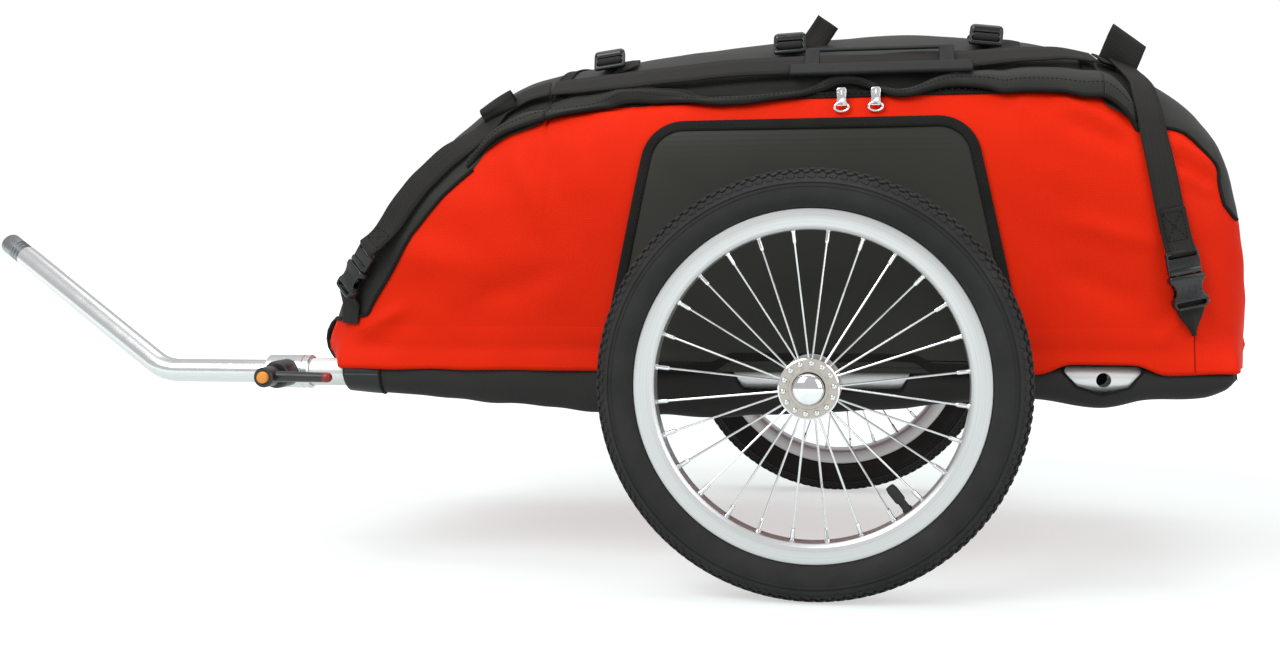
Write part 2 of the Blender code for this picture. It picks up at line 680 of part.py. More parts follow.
def hub(word, hub_frame):
    """Hub shell on two ball bearings, the stub axle through them, and its push button."""
    bore = BEARING_RADIUS + GAP
    barrel_radius, barrel_half, fillet_radius = 0.0172, 0.0180, 0.0200
    turned(f"{word}_hub", HUB_GREY, (
        (FLANGE_RADIUS, FLANGE_OUTER), (FLANGE_RADIUS, FLANGE_INNER), (fillet_radius, FLANGE_INNER),
        (barrel_radius, barrel_half), (barrel_radius, -barrel_half), (fillet_radius, -FLANGE_INNER),
        (FLANGE_RADIUS, -FLANGE_INNER), (FLANGE_RADIUS, -FLANGE_OUTER),
        (bore, -FLANGE_OUTER), (bore, FLANGE_OUTER),
    ), hub_frame)
    bearing_middle = FLANGE_OUTER - 0.0005 - BEARING_WIDTH / 2
    for place, middle in (("outer", bearing_middle), ("inner", -bearing_middle)):
        turned(f"{word}_{place}_bearing", BARE_STEEL, tube_profile(
            BEARING_RADIUS, AXLE_RADIUS + GAP, middle - BEARING_WIDTH / 2, middle + BEARING_WIDTH / 2
        ), hub_frame)
    shoulder_start, shoulder_radius, axle_end, bore_end = -0.0255, 0.0095, -0.120, -0.010
    shoulder_end = FRAME_HALF_WIDTH - TRACK / 2 + SOCKET_HALF_LENGTH + 2 * GAP
    turned(f"{word}_axle", BARE_STEEL, (
        (0, bore_end), (AXLE_BORE, bore_end), (AXLE_BORE, FLANGE_OUTER), (AXLE_RADIUS, FLANGE_OUTER),
        (AXLE_RADIUS, shoulder_start), (shoulder_radius, shoulder_start - 0.001),
        (shoulder_radius, shoulder_end), (AXLE_RADIUS, shoulder_end), (AXLE_RADIUS, axle_end), (0, axle_end),
    ), hub_frame, ring=False)
    flat = FLANGE_OUTER + BUTTON_TRAVEL + 2 * GAP
    rod_radius, rod_end, dome_radius = AXLE_BORE - GAP, -0.004, 0.0142
    turned(f"{word}_axle_button", BARE_STEEL, (
        (0, flat + 0.0085), (0.005, flat + 0.0080), (0.0105, flat + 0.0060), (dome_radius, flat + 0.0020),
        (dome_radius, flat), (rod_radius, flat), (rod_radius, rod_end), (0, rod_end),
    ), hub_frame, ring=False)


# Drawbar


def bent_route(start, corner, end, radius, steps=6):
    """Two straight runs joined by an arc."""
    back, ahead = (start - corner).normalized(), (end - corner).normalized()
    half = back.angle(ahead) / 2
    centre = corner + (back + ahead).normalized() * radius / math.sin(half)
    first = corner + back * radius / math.tan(half) - centre
    last = corner + ahead * radius / math.tan(half) - centre
    arc = [centre + first.slerp(last, step / steps).normalized() * radius for step in range(steps + 1)]
    return [start, *arc, end]


def drawbar():
    """A bent tube that slides and turns in the left side tube, with a glide inside and a coupling plug."""
    tube_axis = Vector((CLAMP_X, -FRAME_HALF_WIDTH, AXLE_HEIGHT))
    inner_end = Vector((DRAWBAR_INNER_END, -FRAME_HALF_WIDTH, AXLE_HEIGHT))
    route = bent_route(inner_end, DRAWBAR_CORNER, DRAWBAR_TIP, DRAWBAR_BEND)
    tube = add("drawbar_tube", rod_mesh(route, DRAWBAR_RADIUS), ALUMINIUM)
    pivot(tube, tube_axis)
    past = 0.01
    bore_start, bore_end = inner_end + Vector((past, 0, 0)), DRAWBAR_TIP + plug_direction * past
    bore_route = bent_route(bore_start, DRAWBAR_CORNER, bore_end, DRAWBAR_BEND)
    boolean(tube, add("drawbar_bore", rod_mesh(bore_route, DRAWBAR_BORE, 3), None))

    spigot = DRAWBAR_BORE - 4 * GAP
    glide_radius, glide_length, glide_spigot_length = SIDE_TUBE_BORE - 2 * GAP, 0.012, 0.018
    glide_profile = (
        (0, glide_length), (glide_radius, glide_length), (glide_radius, GAP), (spigot, GAP),
        (spigot, -glide_spigot_length), (0, -glide_spigot_length),
    )
    tube_line = along_x(-FRAME_HALF_WIDTH, AXLE_HEIGHT, DRAWBAR_INNER_END)
    turned("drawbar_glide", BLACK_PLASTIC, glide_profile, tube_line, ring=False)

    groove, plug_spigot_length = PLUG_RADIUS - 0.0012, 0.020
    grooves = []
    for height in (0.0130, 0.0080, 0.0030):
        grooves += [(PLUG_RADIUS, height + 0.0022), (groove, height + 0.0015), (groove, height)]
        grooves += [(PLUG_RADIUS, height - 0.0007)]
    plug = (
        (0, PLUG_LENGTH), (PLUG_RADIUS, PLUG_LENGTH), *grooves, (PLUG_RADIUS, GAP), (spigot, GAP),
        (spigot, -plug_spigot_length), (0, -plug_spigot_length),
    )
    aim = Matrix.Translation(DRAWBAR_TIP) @ plug_direction.to_track_quat("Z", "Y").to_matrix().to_4x4()
    turned("coupling_plug", DARK_STEEL, plug, aim, ring=False)


# Bag


def bag():
    """Tub, nose and tail panels sewn together, and the lid hinged on the right-hand hem."""
    past = 0.05
    front, rear, sky = BAG_TOP[0][0] - past, BAG_TOP[-1][0] + past, 0.60
    below = BAG_FLOOR - past
    bag_part("bag_tub", RED_CLOTH, [
        (front, below), (rear, below), (rear, REAR_SEAM[-1][1] - GAP),
        *((x - GAP, z - GAP) for x, z in reversed(REAR_SEAM)), (LID_REAR - GAP, HEM_HEIGHT - GAP),
        (LID_FRONT + GAP, HEM_HEIGHT - GAP), *((x + GAP, z - GAP) for x, z in FRONT_SEAM),
        (front, FRONT_SEAM[-1][1] - GAP),
    ])
    bag_part("nose_panel", BLACK_CLOTH, [
        (front, FRONT_SEAM[-1][1]), *reversed(FRONT_SEAM), (LID_FRONT, sky), (front, sky),
    ])
    bag_part("tail_panel", BLACK_CLOTH, [
        *REAR_SEAM, (rear, REAR_SEAM[-1][1]), (rear, sky), (LID_REAR, sky),
    ])
    lid = bag_part("lid_cover", BLACK_CLOTH, [
        (LID_FRONT + 2 * GAP, HEM_HEIGHT + GAP), (LID_REAR - 2 * GAP, HEM_HEIGHT + GAP),
        (LID_REAR - 2 * GAP, sky), (LID_FRONT + 2 * GAP, sky),
    ])
    pivot(lid, lid_hinge())


def lid_hinge():
    """The point on the right-hand hem, at its widest, that the lid turns about."""
    left_hem = bag_surface(0.075, turn_at_height(0.075, HEM_HEIGHT))
    return Vector((0, -left_hem.y, HEM_HEIGHT))


def sleeves():
    """Cloth sleeves round the side tubes, hanging loose below them, with windows cut in them."""
    for word, side in SIDES.items():
        bm = bmesh.new()
        bmesh.ops.create_cone(bm, cap_ends=False, segments=16, radius1=1, radius2=1, depth=1)
        lengthwise = [edge for edge in bm.edges if abs(edge.verts[0].co.z - edge.verts[1].co.z) > 0.5]
        bmesh.ops.subdivide_edges(bm, edges=lengthwise, cuts=len(SLEEVE_DROP) - 2)
        for vert in bm.verts:
            x, drop = SLEEVE_DROP[round((vert.co.z + 0.5) * (len(SLEEVE_DROP) - 1))]
            y = FRAME_HALF_WIDTH * side + SLEEVE_RADIUS * vert.co.x
            z = AXLE_HEIGHT + SLEEVE_RADIUS * vert.co.y + min(vert.co.y, 0) * drop
            vert.co = (x, y, z)
        mesh = mesh_of(bm)
        shade(mesh, 60)
        obj = add(f"{word}_sleeve", mesh, BLACK_CLOTH)
        cloth = obj.modifiers.new("Cloth", "SOLIDIFY")
        cloth.thickness = SLEEVE_CLOTH
        cloth.offset = -1
        boolean(obj, add(f"{word}_sleeve_windows", sleeve_windows(side), None))


def sleeve_windows(side):
    """Openings for the axle, the second axle hole and the cross tubes."""
    bm = bmesh.new()
    axle_window = [(-0.083, 0.208), (0.095, 0.208), (0.081, 0.1815), (-0.0685, 0.180)]
    spare_window = [(0.222, 0.2085), (0.303, 0.2085), (0.284, 0.190), (0.262, 0.1865), (0.240, 0.190)]
    for outline in (axle_window, spare_window):
        pane = slab([outline], 0.030)
        pane.transform(upright(side * (FRAME_HALF_WIDTH + 0.020)))
        bm.from_mesh(pane)
    socket_half, cross_tube_half = SOCKET_RADIUS + 0.0025, CROSS_TUBE_RADIUS + 0.002
    inside, tube_middle = 0.150, FRAME_HALF_WIDTH - 0.004
    for x, half in ((0, socket_half), *((place, cross_tube_half) for place in CROSS_TUBE_PLACES.values())):
        low, high = sorted((side * inside, side * tube_middle))
        box(bm, (x - half, low, AXLE_HEIGHT - half), (x + half, high, AXLE_HEIGHT + half))
    return mesh_of(bm)


def wheel_guards():
    """Smooth panels on the bag's sides behind the wheels, bent to the sides' curve."""
    corners = [(-0.2074, 0.214), (0.195, 0.214), (0.145, 0.441), (-0.1594, 0.441)]
    arcs = rounded(corners, 0.040)
    outline = corners[:2] + arcs[len(arcs) // 2:]
    thickness, lift_off_bag, flat_below, bends = 0.002, 0.0012, 0.33, (0.33, 0.37, 0.405)
    for word, side in SIDES.items():
        bm = bmesh.new()
        bm.from_mesh(slab([outline], thickness))
        for height in bends:
            geometry = bm.verts[:] + bm.edges[:] + bm.faces[:]
            bmesh.ops.bisect_plane(bm, geom=geometry, plane_co=(0, height, 0), plane_no=(0, 1, 0))
        for vert in bm.verts:
            x, z, lift = vert.co.x, vert.co.y, lift_off_bag + thickness / 2 + vert.co.z
            y = side * (lift - bag_surface(*side_place(x, max(z, flat_below))).y)
            vert.co = (x, y, z)
        if side == RIGHT:
            bmesh.ops.reverse_faces(bm, faces=bm.faces)
        add(f"{word}_wheel_guard", mesh_of(bm), GUARD_CLOTH)


def lengthwise_frame(x, y, lift):
    """A frame on the bag's upper half: X along the bag, Z outwards."""
    step = 0.010
    return surface_frame([(place, turn_at_width(place, y)) for place in (x - step, x, x + step)], 0.5, lift)


def loop(name, frame, height, taller_end):
    """A fold of wide webbing that stands up along the frame's X axis, taller at one of its ends."""
    slant, leg = 0.44, height - LOOP_RADIUS - WEBBING
    outline = []
    for radius, way in ((LOOP_RADIUS + WEBBING, 1), (LOOP_RADIUS, -1)):
        side = [(-radius, 0), (-radius, leg)]
        arc = [(-radius * math.cos(turn), leg + radius * math.sin(turn))
               for turn in (math.radians(45), math.radians(90), math.radians(135))]
        outline += (side + arc + [(radius, leg), (radius, 0)])[::way]
    mesh = slab([outline], LOOP_WIDTH)
    mesh.transform(Matrix.Rotation(math.pi / 2, 4, "Z") @ upright())
    for vert in mesh.vertices:
        vert.co.z *= 1 + taller_end * slant * vert.co.x / LOOP_WIDTH
    return add(name, mesh, None, frame)


def lid_straps():
    """Webbing along the lid's left edge, and three straps across the lid."""
    edge = band("edge_strap", BLACK_WEBBING, [side_place(*place) for place in EDGE_STRAP_HEIGHTS], 0.0014, 20)
    pivot(edge, lid_hinge())
    steps = 10
    for word, x in CROSS_STRAP_PLACES.items():
        start = LOCK_WIDTHS[word] - 0.004
        widths = [start + step * (CROSS_STRAP_FAR_END - start) / steps for step in range(steps + 1)]
        route = [(x, turn_at_width(x, y)) for y in widths]
        cross = band(f"{word}_cross_strap", BLACK_WEBBING, route, 0.0022, steps)
        pivot(cross, lid_hinge())


def front_strap():
    """The lengthwise strap's front end, from the lid's edge down the nose, with its standing loop."""
    at_the_lid = side_place(LID_FRONT - 0.003, EDGE_STRAP_HEIGHTS[0][1])
    loop_x, loop_y = FRONT_LOOP_PLACE
    bend = [side_place(-0.290, 0.4690), (loop_x, turn_at_width(loop_x, loop_y))]
    on_nose = [front_strap_place(0.434 - step * 0.0195) for step in range(7)]
    strap = band("front_strap", BLACK_WEBBING, [at_the_lid, *bend, *on_nose], 0.0016, 18)
    boolean(strap, loop("front_strap_loop", lengthwise_frame(*FRONT_LOOP_PLACE, 0.0008), 0.0150, 1), "UNION")


def front_strap_place(z):
    """The front strap follows the nose's left shoulder, just outside the seam."""
    return side_place(between(FRONT_STRAP_LINE, z), z)


def rear_strap():
    """The rear end: a link from the lid's edge to a standing loop, and the webbing down the side."""
    loop_x, loop_y = REAR_LOOP_PLACE
    loop_place = (loop_x, turn_at_width(loop_x, loop_y))
    past_loop = loop_x + 0.006
    shoulder = [loop_place, (past_loop, turn_at_width(past_loop, loop_y - 0.023))]
    down = [rear_strap_place(REAR_STRAP_KNEE.y - step * 0.0205) for step in range(8)]
    strap = band("rear_strap", BLACK_WEBBING, shoulder + down, 0.0028, 18)
    at_the_lid = side_place(LID_REAR + 0.003, EDGE_STRAP_HEIGHTS[-1][1])
    link = band("rear_strap_link", None, [at_the_lid, (past_loop, loop_place[1])], 0.0018, 3)
    boolean(strap, link, "UNION")
    boolean(strap, loop("rear_strap_loop", lengthwise_frame(*REAR_LOOP_PLACE, 0.0008), 0.0300, -1), "UNION")


def rear_strap_place(z):
    """The rear strap leans back as it goes down."""
    return side_place(REAR_STRAP_KNEE.x + (REAR_STRAP_KNEE.y - z) * math.tan(REAR_STRAP_LEAN), z)


def bar_slot(low, high):
    """The slot beside a bar that webbing goes round."""
    return [(-BAR_SLOT_HALF, low), (BAR_SLOT_HALF, low), (BAR_SLOT_HALF, high), (-BAR_SLOT_HALF, high)]


def female_mesh():
    """The socket half: a flat box open at its top, with a bar for the lower webbing."""
    half, foot, mouth = BUCKLE_WIDTH / 2, -0.028, 0.0035
    outline = rounded([(-half, foot), (half, foot), (half, mouth), (-half, mouth)], 0.004, 2)
    return slab([outline, bar_slot(foot + 0.0035, foot + 0.0065)], BUCKLE_THICKNESS)


def male_mesh():
    """The prong half: a plate with a bar for the strap, and two prongs pointing down."""
    wide, inner, outer, foot, top, thickness = 0.0145, 0.0055, 0.0095, 0.0038, 0.026, 0.0044
    tip = foot - PRONG_LENGTH
    outline = [
        (-wide, foot), (-outer, foot), (-outer, tip), (-inner, tip), (-inner, foot), (inner, foot),
        (inner, tip), (outer, tip), (outer, foot), (wide, foot), (wide, top), (-wide, top),
    ]
    return slab([outline, bar_slot(top - 0.0065, top - 0.0035)], thickness)


def buckle(word, frame):
    """A side-release buckle whose frame has Y up its strap and Z out of the bag."""
    female = add(f"{word}_buckle_female", female_mesh(), BLACK_PLASTIC, frame)
    cavity = bmesh.new()
    half_width, half_depth, floor, past_mouth = 0.0135, 0.0029, -0.0155, 0.010
    box(cavity, (-half_width, floor, -half_depth), (half_width, past_mouth, half_depth))
    boolean(female, add(f"{word}_buckle_cavity", mesh_of(cavity), None, frame))
    add(f"{word}_buckle_male", male_mesh(), BLACK_PLASTIC, frame)


def buckle_frame(route, lift):
    """Turns a surface frame so that its Y axis points back up the route."""
    frame = surface_frame(route, 0.5, lift)
    return frame @ Matrix.Rotation(math.pi / 2, 4, "Z")


def buckles():
    """A buckle at each end of the lengthwise strap, and the webbing that holds its lower half."""
    lift = BUCKLE_THICKNESS / 2 + 2 * WEBBING + 0.0014

    for word, place, height in (
        ("front", front_strap_place, FRONT_BUCKLE_HEIGHT), ("rear", rear_strap_place, REAR_BUCKLE_HEIGHT)
    ):
        buckle(word, buckle_frame([place(height + rise) for rise in (0.012, 0, -0.012)], lift))
        lower = [place(height - drop) for drop in (0.018, 0.035, 0.052)]
        band(f"{word}_lower_web", BLACK_WEBBING, lower, 0.0012, 4)


def zip_and_sliders():
    """The zip under the left hem, and two sliders on it with pulls that swing."""
    start, end, steps = LID_FRONT + 0.004, LID_REAR - 0.004, 10
    route = [side_place(start + step * (end - start) / steps, ZIP_MIDDLE) for step in range(steps + 1)]
    band("zip_tape", BLACK_CLOTH, route, 0.0010, 10, width=2 * ZIP_HALF_HEIGHT, thickness=0.0008)
    face = bag_surface(*side_place(0.05, ZIP_MIDDLE)).y - 0.0044
    half_length, half_height, slider_depth, pull_thickness = 0.0048, 0.0055, 0.0035, 0.0012
    for word, x in SLIDER_PLACES.items():
        bm = bmesh.new()
        box(bm, (-half_length, -slider_depth, -half_height), (half_length, 0, half_height))
        bmesh.ops.bevel(
            bm, geom=bm.edges[:], offset=0.0012, segments=1, affect="EDGES", profile=0.5, material=-1
        )
        add(f"{word}_zip_slider", mesh_of(bm), BARE_STEEL, Matrix.Translation((x, face, ZIP_MIDDLE)))
        pull_corners = [(-0.0045, -0.0165), (0.0045, -0.0165), (0.0035, 0.0009), (-0.0035, 0.0009)]
        ring = rounded(pull_corners, 0.0020, 2)
        hole = [(-0.0018, -0.0140), (0.0018, -0.0140), (0.0018, -0.0080), (-0.0018, -0.0080)]
        hangs_from = upright(face - slider_depth - pull_thickness) @ Matrix.Translation((x, ZIP_MIDDLE, 0))
        add(f"{word}_zip_pull", slab([ring, hole], pull_thickness), BARE_STEEL, hangs_from)


def ladder_locks():
    """Strap adjusters where the cross straps end."""
    half, reach, lift, tilt, thickness = BUCKLE_WIDTH / 2, 0.012, 0.0110, math.radians(32), 0.004
    outer = rounded([(-half, -reach), (half, -reach), (half, reach), (-half, reach)], 0.003, 2)
    slots = [bar_slot(-0.0085, -0.0035), bar_slot(0.0035, 0.0085)]
    for word, x in CROSS_STRAP_PLACES.items():
        route = [(x + way, turn_at_width(x, LOCK_WIDTHS[word])) for way in (-0.01, 0, 0.01)]
        frame = surface_frame(route, 0.5, lift) @ Matrix.Rotation(tilt, 4, "X")
        add(f"{word}_ladder_lock", slab([outer, *slots], thickness), BLACK_PLASTIC, frame)


def carry_handle():
    """A webbing handle that lies on the lid's shoulder and swings up about its upper edge."""
    middle, upper_y, lower_y, lift = 0.060, -0.167, -0.1945, 0.0086
    upper = bag_surface(middle, turn_at_width(middle, upper_y))
    lower = bag_surface(middle, turn_at_width(middle, lower_y))
    up_slope = (upper - lower).normalized()
    outwards = Vector((1, 0, 0)).cross(up_slope)
    frame = Matrix(((1, 0, 0), up_slope, outwards)).transposed().to_4x4()
    frame.translation = Vector((0, upper.y, upper.z)) + outwards * lift
    depth, grip, strip, top_bar = (upper - lower).length, 0.015, 0.014, 0.004
    grip_front, grip_rear, strip_front, strip_rear = -0.026, 0.146, -0.012, 0.129
    outer = [
        (grip_front, -depth), (grip_rear, -depth), (grip_rear, grip - depth), (strip_rear, grip - depth),
        (strip_rear, 0), (strip_front, 0), (strip_front, grip - depth), (grip_front, grip - depth),
    ]
    hole_front, hole_rear = strip_front + strip, strip_rear - strip
    hole = [
        (hole_front, grip - depth), (hole_rear, grip - depth), (hole_rear, -top_bar), (hole_front, -top_bar),
    ]
    add("carry_handle", slab([outer, hole], 0.003), BLACK_WEBBING, frame)


side_tubes()
cross_tubes()
axle_sockets()
clamp()
wheels()
drawbar()
bag()
sleeves()
wheel_guards()
lid_straps()
front_strap()
rear_strap()
buckles()
zip_and_sliders()
ladder_locks()
carry_handle()
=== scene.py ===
"""How the bicycle cargo trailer looks: cloth, webbing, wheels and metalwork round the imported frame.

Metres, +Z up. Distances along X are counted from the axle line, which AXLE_X places in the frame.
"""

from math import asin, atan2, cos, exp, hypot, pi, radians, sin, sqrt, tan

import bmesh
import bpy
from mathutils import Matrix, Vector, noise


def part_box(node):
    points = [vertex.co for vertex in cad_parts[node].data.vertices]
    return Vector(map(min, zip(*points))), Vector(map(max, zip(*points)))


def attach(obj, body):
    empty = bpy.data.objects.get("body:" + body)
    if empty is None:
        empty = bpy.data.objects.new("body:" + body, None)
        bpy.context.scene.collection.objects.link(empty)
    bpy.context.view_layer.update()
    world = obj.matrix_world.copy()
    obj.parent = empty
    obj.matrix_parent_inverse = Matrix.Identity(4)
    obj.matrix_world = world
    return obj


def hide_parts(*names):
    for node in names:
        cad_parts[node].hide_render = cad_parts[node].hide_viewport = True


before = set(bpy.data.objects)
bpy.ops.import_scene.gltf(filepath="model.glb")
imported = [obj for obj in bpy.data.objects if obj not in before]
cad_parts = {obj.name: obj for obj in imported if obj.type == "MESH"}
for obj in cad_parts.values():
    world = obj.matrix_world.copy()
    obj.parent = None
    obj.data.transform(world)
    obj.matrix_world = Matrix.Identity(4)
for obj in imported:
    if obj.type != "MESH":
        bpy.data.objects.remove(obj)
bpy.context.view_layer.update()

# Driving dimensions, read from the frame
rim_low, rim_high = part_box("left_rim")
tube_low, tube_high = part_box("left_side_tube")
AXLE_X = (rim_low.x + rim_high.x) / 2
AXLE_HEIGHT = (rim_low.z + rim_high.z) / 2
HALF_TRACK = -(rim_low.y + rim_high.y) / 2
FRAME_HALF_WIDTH = -(tube_low.y + tube_high.y) / 2
FRAME_FRONT = tube_low.x - AXLE_X
FRAME_REAR = tube_high.x - AXLE_X
SIDE_TUBE_RADIUS = (tube_high.z - tube_low.z) / 2
LEFT, RIGHT = -1, 1
SIDES = {"left": LEFT, "right": RIGHT}

# The bag's heights and half widths along X, as the frame's solids have them
BAG_FLOOR = 0.2125
BELLY_SHARE = 0.42
UPPER_ROUNDNESS = 3.0
LOWER_ROUNDNESS = 18.0
BAG_TOP = (
    (-0.515, 0.232), (-0.503, 0.25), (-0.492, 0.272), (-0.467, 0.322), (-0.428, 0.394), (-0.384, 0.443),
    (-0.33, 0.483), (-0.262, 0.508), (-0.106, 0.528), (0.000, 0.5345), (0.085, 0.5385), (0.2, 0.526),
    (0.26, 0.508), (0.32, 0.481), (0.363, 0.447), (0.386, 0.408), (0.395, 0.33), (0.401, 0.24),
)
BAG_HALF_WIDTH = (
    (-0.515, 0.15), (-0.503, 0.172), (-0.492, 0.184), (-0.467, 0.204), (-0.428, 0.214), (-0.33, 0.2185),
    (0.3, 0.2185), (0.345, 0.213), (0.372, 0.202), (0.39, 0.18), (0.401, 0.145),
)
HEM_HEIGHT = 0.466
LID_FRONT = -0.265
LID_REAR = 0.262
SEAM_HEIGHTS = (
    (-0.515, 0.245), (-0.503, 0.247), (-0.478, 0.249), (-0.449, 0.2542), (-0.4439, 0.2638), (-0.4302, 0.2843),
    (-0.4132, 0.3111), (-0.3997, 0.3346), (-0.3829, 0.3548), (-0.3664, 0.3733), (-0.3532, 0.3856),
    (-0.3368, 0.3993), (-0.3302, 0.4085), (-0.3237, 0.4192), (-0.3107, 0.4266), (-0.2819, 0.4384),
    (LID_FRONT - 0.002, 0.444), (LID_FRONT + 0.002, HEM_HEIGHT), (LID_REAR - 0.002, HEM_HEIGHT),
    (LID_REAR + 0.002, 0.4485), (0.287, 0.436), (0.3153, 0.4268), (0.3267, 0.4247), (0.3358, 0.4217),
    (0.3438, 0.4156), (0.3518, 0.4072), (0.3587, 0.3988), (0.3656, 0.3892), (0.368, 0.372), (0.3705, 0.356),
    (0.379, 0.346), (0.3863, 0.3408), (0.401, 0.34),
)
FLAP_EDGE = (
    (-0.345, 0.401), (-0.328, 0.4165), (-0.3, 0.433), (-0.245, 0.4492), (-0.2242, 0.4532), (-0.2034, 0.4588),
    (-0.1931, 0.4626), (-0.1725, 0.4641), (-0.1521, 0.4626), (-0.1317, 0.4615), (-0.1115, 0.4576),
    (-0.0954, 0.4553), (-0.0814, 0.4549), (-0.0614, 0.4561), (-0.037, 0.4595), (-0.0189, 0.4616),
    (-0.0052, 0.4653), (0.0085, 0.4711), (0.0193, 0.4747), (0.0315, 0.4757), (0.0437, 0.4743), (0.0545, 0.47),
    (0.0626, 0.4643), (0.0706, 0.4604), (0.0827, 0.4591), (0.092, 0.4602), (0.1027, 0.4633), (0.1106, 0.4656),
    (0.1225, 0.4675), (0.1357, 0.4672), (0.1594, 0.464), (0.1728, 0.46), (0.1892, 0.4601), (0.2101, 0.4591),
    (0.2263, 0.4575), (0.2448, 0.4535), (0.2631, 0.4519), (0.2746, 0.4446), (0.2873, 0.4313), (0.293, 0.424),
)
FLAP_HEIGHTS = (
    (-0.345, 0.012), (-0.275, 0.021), (-0.249, 0.0225), (-0.2034, 0.017), (-0.15, 0.0135), (-0.08, 0.0138),
    (-0.0415, 0.01), (-0.0189, 0.0125), (0.0085, 0.0095), (0.0315, 0.0062), (0.05, 0.007), (0.0626, 0.01),
    (0.075, 0.009), (0.095, 0.013), (0.115, 0.015), (0.14, 0.02), (0.18, 0.028), (0.226, 0.0315),
    (0.253, 0.033), (0.272, 0.033), (0.287, 0.028), (0.293, 0.026),
)
# Creases of the left side: from and to (x, z), how wide, and how far each stands proud
LEFT_CREASES = (
    ((0.318, 0.421), (0.366, 0.383), 0.006, 0.0055), ((0.32, 0.404), (0.362, 0.372), 0.0055, -0.0045),
    ((0.322, 0.388), (0.366, 0.366), 0.006, 0.004), ((0.215, 0.456), (0.283, 0.424), 0.0075, 0.005),
    ((0.225, 0.44), (0.29, 0.405), 0.008, -0.0038), ((-0.465, 0.232), (-0.405, 0.262), 0.009, 0.005),
    ((-0.47, 0.218), (-0.42, 0.222), 0.007, -0.0036), ((-0.3, 0.425), (-0.255, 0.33), 0.012, 0.0034),
    ((0.22, 0.345), (0.318, 0.318), 0.01, 0.0036), ((0.215, 0.3), (0.3, 0.262), 0.012, -0.003),
    ((-0.43, 0.32), (-0.3, 0.29), 0.015, 0.0032), ((-0.35, 0.262), (-0.24, 0.3), 0.014, -0.003),
    ((0.31, 0.225), (0.335, 0.262), 0.007, 0.0022), ((0.345, 0.232), (0.338, 0.266), 0.007, 0.0026),
    ((-0.15, 0.458), (-0.14, 0.446), 0.005, 0.002), ((-0.185, 0.46), (-0.178, 0.446), 0.005, 0.002),
    ((-0.085, 0.452), (-0.075, 0.444), 0.005, 0.0016), ((0.185, 0.456), (0.196, 0.444), 0.0055, 0.0018),
)

# Webbing
WEBBING = 0.0016
WEBBING_WIDTH = 0.025
CROSS_STRAP_PLACES = {"front": -0.211, "middle": -0.028, "rear": 0.159}
CROSS_STRAP_FAR_END = 0.18
LOCK_WIDTHS = {"front": -0.138, "middle": -0.152, "rear": -0.144}
EDGE_STRAP_HEIGHTS = (
    (-0.262, 0.4745), (-0.224, 0.477), (-0.12, 0.483), (-0.025, 0.488), (0.06, 0.4905), (0.146, 0.4935),
    (0.21, 0.494), (0.259, 0.4915),
)
FRONT_STRAP_LINE = (
    (0.2575, -0.4686), (0.275, -0.4649), (0.3, -0.4519), (0.322, -0.434), (0.342, -0.4195), (0.364, -0.4035),
    (0.386, -0.3855), (0.405, -0.3675), (0.421, -0.349), (0.434, -0.3325),
)
FRONT_BUCKLE_HEIGHT = 0.297
REAR_BUCKLE_HEIGHT = 0.289
REAR_STRAP_KNEE = Vector((0.298, 0.462))
REAR_STRAP_LEAN = radians(11)
FRONT_LOOP_PLACE = (-0.316, -0.176)
REAR_LOOP_PLACE = (0.283, -0.122)
ZIP_MIDDLE = HEM_HEIGHT - 0.0048
SLEEVE_RADIUS = 0.0163
GUARD_FOOT = 0.2005
GUARD_TOP = 0.441
BUCKLE_WIDTH = 0.032
BUCKLE_THICKNESS = 0.01


# Curves and surfaces


def smooth(stations, x):
    """A smooth curve's value at x, through (x, value) stations, and flat past both ends."""
    last = len(stations) - 1
    x = min(max(x, stations[0][0]), stations[-1][0])
    i = 0
    while i < last - 1 and x > stations[i + 1][0]:
        i += 1
    (x0, value0), (x1, value1) = stations[i], stations[i + 1]

    def slope(k):
        (before, low), (after, high) = stations[max(k - 1, 0)], stations[min(k + 1, last)]
        return (high - low) / (after - before)

    span = x1 - x0
    t = (x - x0) / span
    return (
        (2 * t ** 3 - 3 * t ** 2 + 1) * value0 + (t ** 3 - 2 * t ** 2 + t) * span * slope(i)
        + (3 * t ** 2 - 2 * t ** 3) * value1 + (t ** 3 - t ** 2) * span * slope(i + 1)
    )


def between(stations, x):
    """The value at x of straight lines through (x, value) stations."""
    x = min(max(x, stations[0][0]), stations[-1][0])
    for (x0, value0), (x1, value1) in zip(stations, stations[1:]):
        if x <= x1:
            break
    return value0 + (value1 - value0) * (x - x0) / (x1 - x0)


def section(x):
    """The bag's half width, belly height and top height at x."""
    top = smooth(BAG_TOP, x)
    return smooth(BAG_HALF_WIDTH, x), BAG_FLOOR + BELLY_SHARE * (top - BAG_FLOOR), top


def bag_point(x, turn):
    """The bag's surface at a turn round its section: 0 points to the right, a quarter turn points up."""
    half_width, belly, top = section(x)
    across, up = cos(turn), sin(turn)
    power = UPPER_ROUNDNESS if up > 0 else LOWER_ROUNDNESS
    reach = (abs(across) ** power + abs(up) ** power) ** (1 / power)
    height = top - belly if up > 0 else belly - BAG_FLOOR
    return Vector((AXLE_X + x, half_width * across / reach, belly + height * up / reach))


def bag_normal(x, turn):
    step, turn_step = 0.003, 0.02
    along = bag_point(x + step, turn) - bag_point(x - step, turn)
    around = bag_point(x, turn + turn_step) - bag_point(x, turn - turn_step)
    return around.cross(along).normalized()


